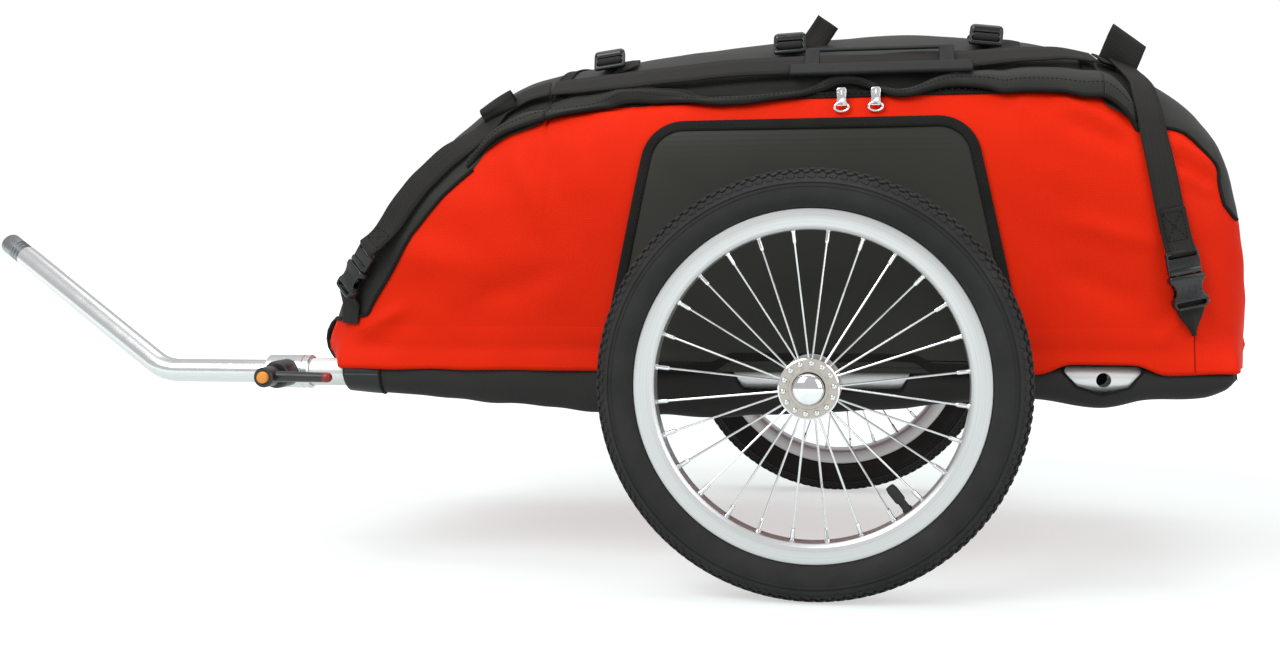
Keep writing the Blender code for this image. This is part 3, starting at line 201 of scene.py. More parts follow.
def turn_at_height(x, z):
    """The turn on the left side where the bag is z high, or the top where it is lower than that."""
    _, belly, top = section(x)
    if z >= top:
        return pi / 2
    up = (z - belly) / (top - belly) if z > belly else (z - belly) / (belly - BAG_FLOOR)
    power = UPPER_ROUNDNESS if z > belly else LOWER_ROUNDNESS
    return atan2(up, -(1 - abs(up) ** power) ** (1 / power)) % (2 * pi)


def turn_at_width(x, y):
    """The turn on the upper half where the bag's surface is at y."""
    across = y / section(x)[0]
    return atan2((1 - abs(across) ** UPPER_ROUNDNESS) ** (1 / UPPER_ROUNDNESS), across)


def side_place(x, z):
    return x, turn_at_height(x, z)


def profile_x(share):
    """The x at a share of the way along the top's outline, so that steep ends get as many rows as the top."""
    lengths = [0]
    for (x0, z0), (x1, z1) in zip(BAG_TOP, BAG_TOP[1:]):
        lengths.append(lengths[-1] + hypot(x1 - x0, z1 - z0))
    place = share * lengths[-1]
    for i, (start, end) in enumerate(zip(lengths, lengths[1:])):
        if place <= end:
            return BAG_TOP[i][0] + (BAG_TOP[i + 1][0] - BAG_TOP[i][0]) * (place - start) / (end - start)
    return BAG_TOP[-1][0]


def creases(point):
    """How far cloth stands proud of its plain form at a point: broad billows with finer rucks on them."""
    p = Vector((point.x * 6.0 + point.z * 3.0, point.y * 6.0, point.z * 9.0))
    billow = noise.noise(p)
    ruck = noise.noise(Vector((point.x * 22.0 + point.z * 14.0, point.y * 20.0, point.z * 34.0)))
    return 0.0034 * billow + 0.0016 * ruck


# Meshes


def mesh_of(bm, name):
    mesh = bpy.data.meshes.new(name)
    bm.to_mesh(mesh)
    bm.free()
    return mesh


def in_scene(name, data):
    """A new object of this data, at the origin."""
    obj = bpy.data.objects.new(name, data)
    bpy.context.scene.collection.objects.link(obj)
    return obj


def new_piece(name, bm, angle=40):
    """An object whose round sides are shaded smooth and whose edges stay sharp."""
    mesh = mesh_of(bm, name)
    mesh.shade_smooth()
    mesh.set_sharp_from_angle(angle=radians(angle))
    return in_scene(name, mesh)


def solidify(obj, thickness, offset=0.0):
    modifier = obj.modifiers.new("Thickness", "SOLIDIFY")
    modifier.thickness = thickness
    modifier.offset = offset
    return obj


def sheet(name, columns, rows, place, thickness, offset=0.0, angle=80):
    """A sheet of cloth or webbing of one thickness, laid where place puts it."""
    return solidify(new_piece(name, sheet_mesh(columns, rows, place), angle), thickness, offset)


def soften(bm, width, segments=1):
    """Takes the edge off every corner of plain boxes."""
    bmesh.ops.bevel(
        bm, geom=bm.edges[:], offset=width, segments=segments, affect="EDGES", profile=0.5, material=-1
    )


def applied(obj):
    """The object with its modifiers' result as its mesh."""
    bpy.context.view_layer.update()
    depsgraph = bpy.context.evaluated_depsgraph_get()
    mesh = bpy.data.meshes.new_from_object(obj.evaluated_get(depsgraph))
    obj.modifiers.clear()
    obj.data = mesh
    return obj


def cut(obj, bm):
    """Cuts a closed shape out of an object, at once."""
    cutter = in_scene("cutter", mesh_of(bm, "cutter"))
    modifier = obj.modifiers.new("Cut", "BOOLEAN")
    modifier.operation = "DIFFERENCE"
    modifier.object = cutter
    modifier.solver = "EXACT"
    applied(obj)
    bpy.data.objects.remove(cutter)
    return obj


def sheet_mesh(columns, rows, place):
    """A grid whose corners are put in place by their two shares, with a UV map in metres along the cloth."""
    bm = bmesh.new()
    bmesh.ops.create_grid(bm, x_segments=columns, y_segments=rows, size=0.5)
    index = {vert: (round((vert.co.x + 0.5) * columns), round((vert.co.y + 0.5) * rows)) for vert in bm.verts}
    at = {key: place(key[0] / columns, key[1] / rows) for key in index.values()}
    for vert in bm.verts:
        vert.co = at[index[vert]]
    middle = rows // 2
    along = {0: 0.0}
    for i in range(columns):
        along[i + 1] = along[i] + (at[i + 1, middle] - at[i, middle]).length
    across = {}
    for i in range(columns + 1):
        across[i, middle] = 0.0
        for j in range(middle, rows):
            across[i, j + 1] = across[i, j] + (at[i, j + 1] - at[i, j]).length
        for j in range(middle, 0, -1):
            across[i, j - 1] = across[i, j] - (at[i, j - 1] - at[i, j]).length
    layer = bm.loops.layers.uv.new("weave")
    for face in bm.faces:
        for loop in face.loops:
            key = index[loop.vert]
            loop[layer].uv = (along[key[0]], across[key])
    return bm


def route_at(route, share):
    """A point of (x, turn) along a list of them."""
    place = min(max(share, 0), 1) * (len(route) - 1)
    first = min(int(place), len(route) - 2)
    return Vector(route[first]).lerp(Vector(route[first + 1]), place - first)


def moved(x, y, z):
    return Matrix.Translation((x, y, z))


def about(axis, angle):
    return Matrix.Rotation(angle, 4, axis)


def scaled(x, y, z):
    return Matrix.Diagonal((x, y, z, 1))


def frame_of(x, y, z, origin):
    """A frame from its three axes and its origin."""
    placed = Matrix((x, y, z)).transposed().to_4x4()
    placed.translation = origin
    return placed


def aimed(way, axis="Z", up="Y"):
    """A turn that points one axis along a direction."""
    return way.to_track_quat(axis, up).to_matrix().to_4x4()


def surface_frame(route, share, lift):
    """A frame on the bag: X along the route, Y across it and Z out of the bag."""
    step = 0.5 / (len(route) - 1)
    here, ahead, behind = (route_at(route, share + way) for way in (0, step, -step))
    normal = bag_normal(*here)
    along = bag_point(*ahead) - bag_point(*behind)
    along = (along - normal * along.dot(normal)).normalized()
    return frame_of(along, normal.cross(along), normal, on_bag(*here, lift))


def strap(name, place, columns, width=WEBBING_WIDTH, thickness=WEBBING):
    """Flat webbing whose frame at each share of its length is given by place."""

    def corner(share, across):
        return place(share) @ Vector((0, (across - 0.5) * width, 0))

    return sheet(name, columns, 4, corner, thickness)


def spun(name, profile, placed, steps=96, ring=True, angle=35):
    """A turned piece: (radius, height) points round the Z axis of its frame."""
    bm = bmesh.new()
    corners = [bm.verts.new((radius, 0, height)) for radius, height in profile]
    edges = [bm.edges.new(pair) for pair in zip(corners, corners[1:] + corners[:1] if ring else corners[1:])]
    bmesh.ops.spin(
        bm, geom=corners + edges, cent=(0, 0, 0), axis=(0, 0, 1), angle=2 * pi, steps=steps, use_merge=True
    )
    bmesh.ops.remove_doubles(bm, verts=bm.verts, dist=0.00001)
    bmesh.ops.recalc_face_normals(bm, faces=bm.faces)
    bmesh.ops.transform(bm, matrix=placed, verts=bm.verts)
    return new_piece(name, bm, angle)


def outward(side, x=0.0, y=HALF_TRACK):
    """A frame at axle height whose Z axis points out of the trailer's left or right side."""
    return moved(AXLE_X + x, side * y, AXLE_HEIGHT) @ about("X", -side * pi / 2)


def along_x(y, x=0.0):
    """A frame at axle height whose Z axis points to the rear."""
    return moved(AXLE_X + x, y, AXLE_HEIGHT) @ about("Y", pi / 2)


def cylinder(bm, radius, low, high, placed, sides=48, far_radius=None):
    """Adds a closed cylinder or cone along its frame's Z axis."""
    bmesh.ops.create_cone(
        bm, cap_ends=True, segments=sides, radius1=radius, radius2=far_radius or radius, depth=high - low,
        matrix=placed @ moved(0, 0, (low + high) / 2),
    )


def box(bm, low, high, placed=Matrix()):
    """Adds a closed box between two corners."""
    low, high = Vector(low), Vector(high)
    size = scaled(*(high - low))
    bmesh.ops.create_cube(bm, size=1, matrix=placed @ Matrix.Translation((low + high) / 2) @ size)


def plate(name, outlines, thickness, edge, placed):
    """A flat moulded piece with rounded edges: the first outline is its rim, and the rest are its holes."""
    curve = bpy.data.curves.new(name, "CURVE")
    curve.dimensions = "2D"
    curve.fill_mode = "BOTH"
    curve.extrude = thickness / 2 - edge
    curve.bevel_depth = edge
    curve.bevel_resolution = 2
    curve.offset = -edge
    for outline in outlines:
        spline = curve.splines.new("POLY")
        spline.points.add(len(outline) - 1)
        for point, (x, y) in zip(spline.points, outline):
            point.co = (x, y, 0, 1)
        spline.use_cyclic_u = True
    return from_curve(name, curve, placed)


def from_curve(name, curve, placed=Matrix()):
    """A curve's mesh with its caps welded, set in its place."""
    holder = in_scene("holder", curve)
    bpy.context.view_layer.update()
    mesh = bpy.data.meshes.new_from_object(holder.evaluated_get(bpy.context.evaluated_depsgraph_get()))
    bpy.data.objects.remove(holder)
    bm = bmesh.new()
    bm.from_mesh(mesh)
    bmesh.ops.remove_doubles(bm, verts=bm.verts, dist=0.000005)
    bmesh.ops.recalc_face_normals(bm, faces=bm.faces)
    bmesh.ops.transform(bm, matrix=placed, verts=bm.verts)
    obj = new_piece(name, bm)
    obj.data.materials.clear()
    return obj


def rod(name, points, radius, resolution=6, radii=None):
    """A round bar along a list of points, whose thickness may change along it."""
    curve = bpy.data.curves.new(name, "CURVE")
    curve.dimensions = "3D"
    curve.bevel_depth = radius
    curve.bevel_resolution = resolution
    curve.use_fill_caps = True
    spline = curve.splines.new("POLY")
    spline.points.add(len(points) - 1)
    for i, (point, place) in enumerate(zip(spline.points, points)):
        point.co = (*place, 1)
        point.radius = radii[i] / radius if radii else 1
    return from_curve(name, curve)


def corner_arc(before, corner, after, radius, steps):
    """Points of the arc that rounds a corner off, from the side of before to the side of after."""
    back, ahead = (before - corner).normalized(), (after - corner).normalized()
    half = back.angle(ahead) / 2
    centre = corner + (back + ahead).normalized() * radius / sin(half)
    first = corner + back * radius / tan(half) - centre
    last = corner + ahead * radius / tan(half) - centre
    return [centre + first.slerp(last, step / steps).normalized() * radius for step in range(steps + 1)]


def rounded(corners, radius, steps):
    """A closed outline whose corners are arcs of one radius."""
    outline, corners = [], [Vector(corner) for corner in corners]
    for i, corner in enumerate(corners):
        arc = corner_arc(corners[i - 1], corner, corners[(i + 1) % len(corners)], radius, steps)
        outline += [tuple(point) for point in arc]
    return outline


def rounded_box(left, right, low, high, radius, steps):
    return rounded([(left, low), (right, low), (right, high), (left, high)], radius, steps)


def foot_and_head(foot, head):
    """An outline with the lower half of one and the upper half of the other."""
    return foot[:len(foot) // 2] + head[len(head) // 2:]


def taken(*pieces):
    """The faces and UV maps of one or several objects, which are gone after it."""
    bm = bmesh.new()
    for piece in pieces:
        applied(piece)
        bm.from_mesh(piece.data)
        bpy.data.objects.remove(piece)
    return bm


def joined(name, *pieces):
    """One object of several."""
    return in_scene(name, mesh_of(taken(*pieces), name))


# Materials


def linear(code):
    """A hex sRGB colour as the linear values that shaders take."""
    values = [int(code[start:start + 2], 16) / 255 for start in (1, 3, 5)]
    return (*(v / 12.92 if v <= 0.04045 else ((v + 0.055) / 1.055) ** 2.4 for v in values), 1)


def node(tree, kind, inputs, **settings):
    """Adds a shader node; an input given as another node's output is linked."""
    made = tree.nodes.new(kind)
    for key, value in settings.items():
        setattr(made, key, value)
    for key, value in inputs.items():
        if isinstance(value, bpy.types.NodeSocket):
            tree.links.new(value, made.inputs[key])
        else:
            made.inputs[key].default_value = value
    return made


def new_material(name, colour, roughness, metallic=0.0, **sockets):
    """A material and its tree, with the values that are the same all over the surface."""
    made = bpy.data.materials.new(name)
    made.use_nodes = True
    tree = made.node_tree
    values = {"Base Color": linear(colour), "Roughness": roughness, "Metallic": metallic, **sockets}
    for key, value in values.items():
        tree.nodes["Principled BSDF"].inputs[key.replace("_", " ")].default_value = value
    return made, tree


def place_of(tree, uv=False):
    """Where a pattern is read: on the cloth's own map in metres, or in the object's space."""
    kind = "UV" if uv else "Object"
    return node(tree, "ShaderNodeTexCoord", {}).outputs[kind]


def ribs(tree, where, period, direction="X"):
    """Even ribs, one each period metres."""
    inputs = {"Vector": where, "Scale": pi / 10 / period}
    return node(tree, "ShaderNodeTexWave", inputs, bands_direction=direction).outputs["Fac"]


def mottle(tree, where, size, detail=3.0):
    """Cloudy noise whose patches are about size metres."""
    inputs = {"Vector": where, "Scale": 1 / size, "Detail": detail}
    return node(tree, "ShaderNodeTexNoise", inputs).outputs["Fac"]


def maths(tree, operation, first, second=0.0):
    return node(tree, "ShaderNodeMath", {0: first, 1: second}, operation=operation).outputs[0]


def shades(tree, share, dark, light):
    """A colour between two, by a share from 0 to 1."""
    inputs = {0: share, 6: linear(dark), 7: linear(light)}
    return node(tree, "ShaderNodeMix", inputs, data_type="RGBA").outputs[2]


def spread(tree, share, low, high):
    """The share from 0 to 1 stretched to run from low to high."""
    return node(tree, "ShaderNodeMapRange", {"Value": share, "To Min": low, "To Max": high}).outputs["Result"]


def finish(made, colour, height, distance, strength, roughness=None):
    """Feeds a material's patterns into its shader: colour, bump and, where it changes, roughness."""
    tree = made.node_tree
    bump = node(tree, "ShaderNodeBump", {"Height": height, "Distance": distance, "Strength": strength})
    patterns = {"Base Color": colour, "Roughness": roughness, "Normal": bump.outputs["Normal"]}
    for key, value in patterns.items():
        if value is not None:
            tree.links.new(value, tree.nodes["Principled BSDF"].inputs[key])
    return made


def cloth(name, dark, light, period, roughness, lift, shine, sheen=0.0):
    """Plain-woven cloth: crossed ribs in its bump, and threads a little lighter and darker."""
    made, tree = new_material(
        name, light, roughness, Specular_IOR_Level=shine, Sheen_Weight=sheen, Sheen_Roughness=0.5)
    where = place_of(tree, uv=True)
    weave = maths(tree, "MULTIPLY", ribs(tree, where, period), ribs(tree, where, period, "Y"))
    clouds = mottle(tree, place_of(tree), 0.06)
    threads = mottle(tree, where, 0.0012, 1.0)
    tone = maths(tree, "ADD", maths(tree, "MULTIPLY", clouds, 0.55), maths(tree, "MULTIPLY", weave, 0.3))
    tone = maths(tree, "ADD", tone, maths(tree, "MULTIPLY", threads, 0.25))
    return finish(made, shades(tree, tone, dark, light), weave, lift, 0.8)


# Coated polyester packcloth, woven, with a slightly waxy sheen: 2 threads per mm, drawn at 2.4 mm to show
red_cloth = cloth("red_coated_packcloth", "#DA230A", "#EF2D0D", 0.0024, 0.6, 0.0001, 0.06)
black_cloth = cloth("black_coated_packcloth", "#1A1A19", "#302F2D", 0.0024, 0.6, 0.0001, 0.22, 0.03)
# Vinyl-coated cloth: smooth and tough, a little greenish, with a faint moulded grain
guard_cloth = cloth("dark_vinyl_coated_cloth", "#2E2E2A", "#373732", 0.003, 0.45, 0.00004, 0.15)


def webbing_look():
    """Polyester webbing: coarse ribs across it in two rows of slanting yarns, matt."""
    made, tree = new_material("polyester_webbing", "#33322F", 0.75, Specular_IOR_Level=0.2)
    where = place_of(tree, uv=True)
    # Herringbone: yarns 1.4 mm apart, drawn at 2.6 mm to show
    across = node(tree, "ShaderNodeSeparateXYZ", {"Vector": where}).outputs["Y"]
    folded = maths(tree, "PINGPONG", across, 0.0042)
    along = node(tree, "ShaderNodeSeparateXYZ", {"Vector": where}).outputs["X"]
    slanted = node(tree, "ShaderNodeCombineXYZ", {"X": maths(tree, "ADD", along, folded)}).outputs["Vector"]
    yarns = ribs(tree, slanted, 0.0026)
    rows = ribs(tree, where, 0.0042, "Y")
    tone = maths(tree, "ADD", maths(tree, "MULTIPLY", yarns, 0.5), maths(tree, "MULTIPLY", rows, 0.12))
    return finish(made, shades(tree, tone, "#1D1C1A", "#353330"), tone, 0.00022, 0.7)


webbing_cloth = webbing_look()
# Vinyl-faced patches round the sleeves' front ends: smooth and greyer than the webbing
handle_cloth = cloth("vinyl_faced_webbing", "#232524", "#303332", 0.0026, 0.42, 0.00006, 0.25)


def brushed(name, dark, light, roughness, stretch, size, depth=0.00002, metallic=1.0):
    """Metal with fine drawn lines: stretch is how far the pattern is scaled along each axis."""
    made, tree = new_material(name, light, roughness, metallic)
    where = node(tree, "ShaderNodeMapping", {"Vector": place_of(tree), "Scale": stretch}).outputs["Vector"]
    lines = mottle(tree, where, size, 2.0)
    clouds = mottle(tree, place_of(tree), 0.02)
    satin = spread(tree, clouds, roughness - 0.05, roughness + 0.06)
    return finish(made, shades(tree, lines, dark, light), lines, depth, 0.5, satin)


# Drawn aluminium tube, clear anodised: satin, with draw lines along it about 0.3 mm apart, drawn at 1 mm
ALONG_X = (0.06, 1, 1)
tube_alu = brushed("drawn_anodised_aluminium", "#CFD0D1", "#DFE0E1", 0.22, ALONG_X, 0.001, 0.000004, 0.82)
# The frame's tubes inside the sleeves: the same tube, less polished, and painted lighter and less metallic
# than it is, a painted highlight that keeps it bright white in the sleeves' windows
frame_alu_painted_bright = brushed("anodised_aluminium_painted_bright", "#DCDDDD", "#EBECEC", 0.34, ALONG_X, 0.001, 0.000004, 0.4)
# Cast aluminium hub, tumbled and lacquered: warm grey, slightly speckled
hub_alu = brushed("cast_lacquered_aluminium", "#B3ACA5", "#CBC4BC", 0.42, (1, 1, 1), 0.0012)
# Stainless spokes: bright drawn wire
spoke_steel = brushed("drawn_stainless_wire", "#C9CACB", "#E6E7E8", 0.2, (1, 1, 1), 0.0015)
# Chromed steel: a clean mirror with faint handling haze
chrome = brushed("polished_chromed_steel", "#D9DADC", "#F0F1F2", 0.09, (1, 1, 1), 0.006, 0.000002)
# Zinc-plated steel of the coupling plug and the sockets: duller and darker
zinc = brushed("zinc_plated_steel", "#7F8286", "#A5A7AA", 0.34, (1, 1, 1), 0.002)
zinc_dark = brushed("blued_steel", "#4A4C50", "#66686C", 0.32, (1, 1, 1), 0.002)


def rim_look(side):
    """Anodised rim extrusion, turned and brushed round the wheel: very pale, with hair lines along it."""
    made, tree = new_material(f"turned_anodised_rim_{side}", "#DADBDC", 0.38, 0.8)
    low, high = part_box(f"{side}_rim")
    middle = {"Vector": place_of(tree), "Location": -(low + high) / 2}
    centred = node(tree, "ShaderNodeMapping", middle).outputs["Vector"]
    flat = node(tree, "ShaderNodeVectorMath", {0: centred, 1: (1, 0, 1)}, operation="MULTIPLY").outputs[0]
    radius = node(tree, "ShaderNodeVectorMath", {0: flat}, operation="LENGTH").outputs["Value"]
    fine = {"W": radius, "Scale": 900.0, "Detail": 2.0}
    lines = node(tree, "ShaderNodeTexNoise", fine, noise_dimensions="1D").outputs["Fac"]
    return finish(made, shades(tree, lines, "#C6C7C8", "#DEDFDF"), lines, 0.00003, 0.6)


def rubber(name, dark, light, roughness, shine=0.5):
    """Moulded rubber or plastic, and wound thread: a dusty bloom in patches and a fine skin."""
    made, tree = new_material(name, light, roughness, Specular_IOR_Level=shine)
    where = place_of(tree)
    bloom, skin = mottle(tree, where, 0.03, 4.0), mottle(tree, where, 0.0016, 2.0)
    dusty = spread(tree, bloom, roughness + 0.08, roughness - 0.1)
    return finish(made, shades(tree, bloom, dark, light), skin, 0.00015, 0.6, dusty)


# Tyre rubber: carbon black, dusty on the tread
tyre_rubber = rubber("moulded_tyre_rubber", "#1C1C1C", "#2E2E2D", 0.78, 0.3)
butyl = rubber("butyl_rubber", "#161617", "#222223", 0.6)
# Acetal of the buckles and sliders, injection moulded in a polished tool: glossy, with faint flow marks
black_plastic = rubber("moulded_black_acetal", "#111213", "#1C1D1F", 0.24)
clamp_plastic = rubber("moulded_black_nylon", "#19191A", "#2A2B2C", 0.38)
orange_plastic = rubber("moulded_orange_acetal", "#EC8F30", "#F7A148", 0.36)
tip_plastic = rubber("moulded_red_nylon", "#7E150D", "#9C1E13", 0.34)
# Binding tape and sewing thread, too fine for their weave to show
piping_cloth = rubber("woven_binding_tape", "#121211", "#1D1D1B", 0.75, 0.15)
thread = rubber("bonded_polyester_thread", "#0E0E0E", "#242422", 0.55, 0.2)
# The rear corner seams' cord: a red darker than the cloth, which paints the shade of the seam's groove along
# with its thread
red_seam_shade = rubber("red_seam_thread_painted_shade", "#7E1608", "#A1220B", 0.7, 0.1)
# The handle's grip: vinyl over webbing, darker than the patches on the sleeves
grip_vinyl = cloth("black_vinyl_faced_webbing", "#121314", "#1B1D1D", 0.0026, 0.5, 0.00005, 0.2)

slots = {
    "red_cloth": red_cloth, "black_cloth": black_cloth, "guard_cloth": guard_cloth, "webbing": webbing_cloth,
    "alu": tube_alu, "steel": chrome, "dark_steel": zinc_dark, "hub_grey": hub_alu, "tyre": tyre_rubber,
    "butyl": butyl, "black_plastic": black_plastic, "orange_plastic": orange_plastic,
}


def dress(obj, body, slot, *stands_for, look=None):
    """Gives a piece its body, its finish and the frame's solids that it stands for."""
    obj.data.materials.clear()
    obj.data.materials.append(look or slots[slot])
    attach(obj, body)
    if stands_for:
        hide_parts(*stands_for)
    return obj


def bind(obj, body="frame_and_bag", slot="black_cloth", *stands_for):
    """Dresses a piece in the look of binding tape."""
    return dress(obj, body, slot, *stands_for, look=piping_cloth)


# Wheels

HUB_ENDS = {"outer": 1, "inner": -1}
SPOKE_COUNT = 28
SPOKE_PHASE = radians(6.2)
SPOKE_CIRCLE = 0.0225
VALVE_SLOT = 4.5
TREAD_PITCHES = 126


def both_sides(points):
    """A cross-section's (radius, across) points followed by their mirror image."""
    return [*points, *((radius, -across) for radius, across in reversed(points))]


def tyre(word, hub_frame):
    """Carcass with two ribs on each sidewall, and ragged tread blocks in four rows."""
    outside = [
        (0.155, 0.006), (0.1556, 0.0086), (0.1592, 0.0099), (0.16, 0.0122), (0.1612, 0.0152), (0.164, 0.0182),
        (0.168, 0.0203), (0.1725, 0.0211), (0.1762, 0.0209), (0.178, 0.0205), (0.1785, 0.0211),
        (0.1793, 0.021), (0.1798, 0.0201), (0.1814, 0.0196), (0.1819, 0.0203), (0.1827, 0.0201),
        (0.1832, 0.019), (0.1855, 0.0172), (0.1882, 0.0142), (0.1903, 0.0105), (0.1918, 0.0062),
        (0.1922, 0.002),
    ]
    carcass = spun(f"{word}_tyre_carcass", both_sides(outside), hub_frame, steps=128, ring=False, angle=50)
    # (radius, across, lean from the wheel's plane in degrees, length round, width across, height)
    rows = (
        (0.1926, 0.003, 12, 0.0064, 0.0046, 0.0048), (0.1909, 0.0085, 33, 0.006, 0.0046, 0.0044),
        (0.1872, 0.0142, 55, 0.0066, 0.0052, 0.004),
    )
    bm = bmesh.new()
    for row, (radius, across, lean, length, width, height) in enumerate(rows):
        for way in (1, -1):
            for pitch in range(TREAD_PITCHES):
                turn = 2 * pi * (pitch + (row % 2) / 2 + (way + 1) / 8) / TREAD_PITCHES
                ragged = noise.noise(Vector((pitch * 3.7, row * 9.1, way * 5.3)))
                placed = (
                    hub_frame @ about("Z", turn)
                    @ moved(radius, 0, way * across)
                    @ about("Y", -way * radians(lean))
                    @ about("X", way * (0.35 + 0.25 * ragged) * (1 if row % 2 else -1))
                )
                size = scaled(height, length * (1 + 0.18 * ragged), width * (1 - 0.12 * ragged))
                bmesh.ops.create_cube(bm, size=1, matrix=placed @ size)
    soften(bm, 0.0006)
    blocks = new_piece(f"{word}_tread", bm)
    dress(carcass, f"{word}_wheel", "tyre", f"{word}_tyre")
    dress(blocks, f"{word}_wheel", "tyre")


def rim(word, hub_frame):
    """Box-section rim: a flat bright face, a rolled lip under the tyre and a narrow slanted foot."""
    outside = [
        (0.1412, 0.0), (0.1402, 0.006), (0.1408, 0.0092), (0.1432, 0.0119), (0.1446, 0.0125),
        (0.1582, 0.0125), (0.1591, 0.0122), (0.1595, 0.0114), (0.159, 0.0107), (0.156, 0.0107),
        (0.151, 0.0106), (0.15, 0.009), (0.145, 0.006), (0.144, 0.0),
    ]
    profile = outside + [(radius, -across) for radius, across in reversed(outside[1:-1])]
    obj = spun(f"{word}_rim_hoop", profile, hub_frame, steps=144, angle=28)
    dress(obj, f"{word}_wheel", "alu", f"{word}_rim", look=rim_look(word))


def wheel_turn(slot):
    """A frame turned about the hub so that its X axis points at a spoke's place."""
    return about("Z", SPOKE_PHASE - slot * 2 * pi / SPOKE_COUNT)


def spokes(word, hub_frame):
    """Straight wire from both flanges, hooked through them with domed heads, in stepped brass nipples."""
    bm, tips = bmesh.new(), bmesh.new()
    flange_outer, wire = 0.0245, 0.001
    for slot in range(SPOKE_COUNT):
        way = 1 if slot % 2 == 0 else -1
        start, end = Vector((SPOKE_CIRCLE, 0, way * 0.02)), Vector((0.1416, 0, way * 0.002))
        aim = (end - start).normalized()
        turned = hub_frame @ wheel_turn(slot)
        along = turned @ Matrix.Translation(start) @ aimed(aim)
        length = (end - start).length
        cylinder(bm, wire, -0.0006, length - 0.011, along, sides=8)
        hook = turned @ moved(SPOKE_CIRCLE, 0, 0)
        low, high = sorted((way * 0.0196, way * (flange_outer + 0.0004)))
        cylinder(bm, wire, low, high, hook, sides=8)
        head = hook @ moved(0, 0, way * (flange_outer + 0.0002)) @ scaled(1, 1, 0.6)
        bmesh.ops.create_uvsphere(bm, u_segments=16, v_segments=8, radius=0.0027, matrix=head)
        cylinder(tips, 0.0016, length - 0.0128, length - 0.0108, along, sides=12, far_radius=0.002)
        cylinder(tips, 0.002, length - 0.0108, length, along, sides=12)
        cylinder(tips, 0.0027, length - 0.0022, length, along, sides=12, far_radius=0.003)
    wires = new_piece(f"{word}_spoke_wires", bm)
    dress(wires, f"{word}_wheel", "steel", f"{word}_spokes", look=spoke_steel)
    dress(new_piece(f"{word}_nipples", tips), f"{word}_wheel", "steel", look=chrome)


def hub(word, hub_frame):
    """Flanged hub with bright chamfers, its bearings, and the stub axle with a domed release button."""
    flange, outer, inner, bore = 0.0275, 0.0245, 0.0215, 0.0146
    body = [
        (bore, outer - 0.0022), (bore + 0.0004, outer), (0.0178, outer), (0.0182, outer - 0.0005),
        (flange - 0.0012, outer - 0.0005), (flange - 0.0004, outer - 0.0013),
        (flange - 0.0004, inner + 0.0006), (flange - 0.001, inner), (0.0205, inner), (0.0182, inner - 0.0012),
        (0.0172, 0.018), (0.0168, 0.0),
    ]
    shell = both_sides(body)
    hub_piece = spun(f"{word}_hub_shell", shell, hub_frame, steps=96, angle=25)
    dress(hub_piece, f"{word}_wheel", "hub_grey", f"{word}_hub")
    edge = [
        (flange - 0.0013, outer - 0.0004), (flange - 0.0002, outer - 0.0011), (flange, outer - 0.0016),
        (flange, inner + 0.0008), (flange - 0.0008, inner + 0.0001), (flange - 0.0016, inner + 0.0008),
    ]
    edges = [
        spun(f"{word}_flange_edge_{end}", [(radius, way * across) for radius, across in edge], hub_frame, 96)
        for end, way in HUB_ENDS.items()
    ]
    dress(joined(f"{word}_flange_edges", *edges), f"{word}_wheel", "alu", look=chrome)

    for place, way in HUB_ENDS.items():
        high, low = way * 0.024, way * 0.016
        race = [
            (0.014, low), (0.014, high - way * 0.0004), (0.0136, high), (0.0118, high),
            (0.0116, high - way * 0.0006), (0.0088, high - way * 0.0006), (0.0086, high), (0.0066, high),
            (0.0063, high - way * 0.0004), (0.0063, low),
        ]
        bearing = spun(f"{word}_{place}_ball_bearing", race, hub_frame, 64)
        dress(bearing, f"{word}_wheel", "steel", f"{word}_{place}_bearing")
    shoulder_end = FRAME_HALF_WIDTH - HALF_TRACK + 0.0205 + 0.0006
    axle = [
        (0.0, -0.01), (0.0033, -0.01), (0.0033, 0.0238), (0.004, 0.0245), (0.0055, 0.0245), (0.006, 0.0238),
        (0.006, -0.0255), (0.0088, -0.0258), (0.0095, -0.0265), (0.0095, shoulder_end + 0.001),
        (0.0088, shoulder_end), (0.006, shoulder_end), (0.006, -0.1185), (0.005, -0.12), (0.0, -0.12),
    ]
    axle = spun(f"{word}_stub_axle", axle, hub_frame, 64, ring=False)
    dress(axle, f"{word}_wheel", "steel", f"{word}_axle", look=zinc)
    flat = outer + 0.0036
    dome = [(0.0, flat + 0.0085)]
    for step in range(1, 9):
        turn = step / 8 * radians(78)
        dome.append((0.0142 * sin(turn) / sin(radians(78)), flat + 0.0014 + 0.0071 * cos(turn)))
    dome += [(0.0142, flat + 0.0006), (0.0136, flat), (0.003, flat), (0.003, -0.004), (0.0, -0.004)]
    button = spun(f"{word}_release_button", dome, hub_frame, 72, ring=False, angle=50)
    dress(button, f"{word}_button", "steel", f"{word}_axle_button")


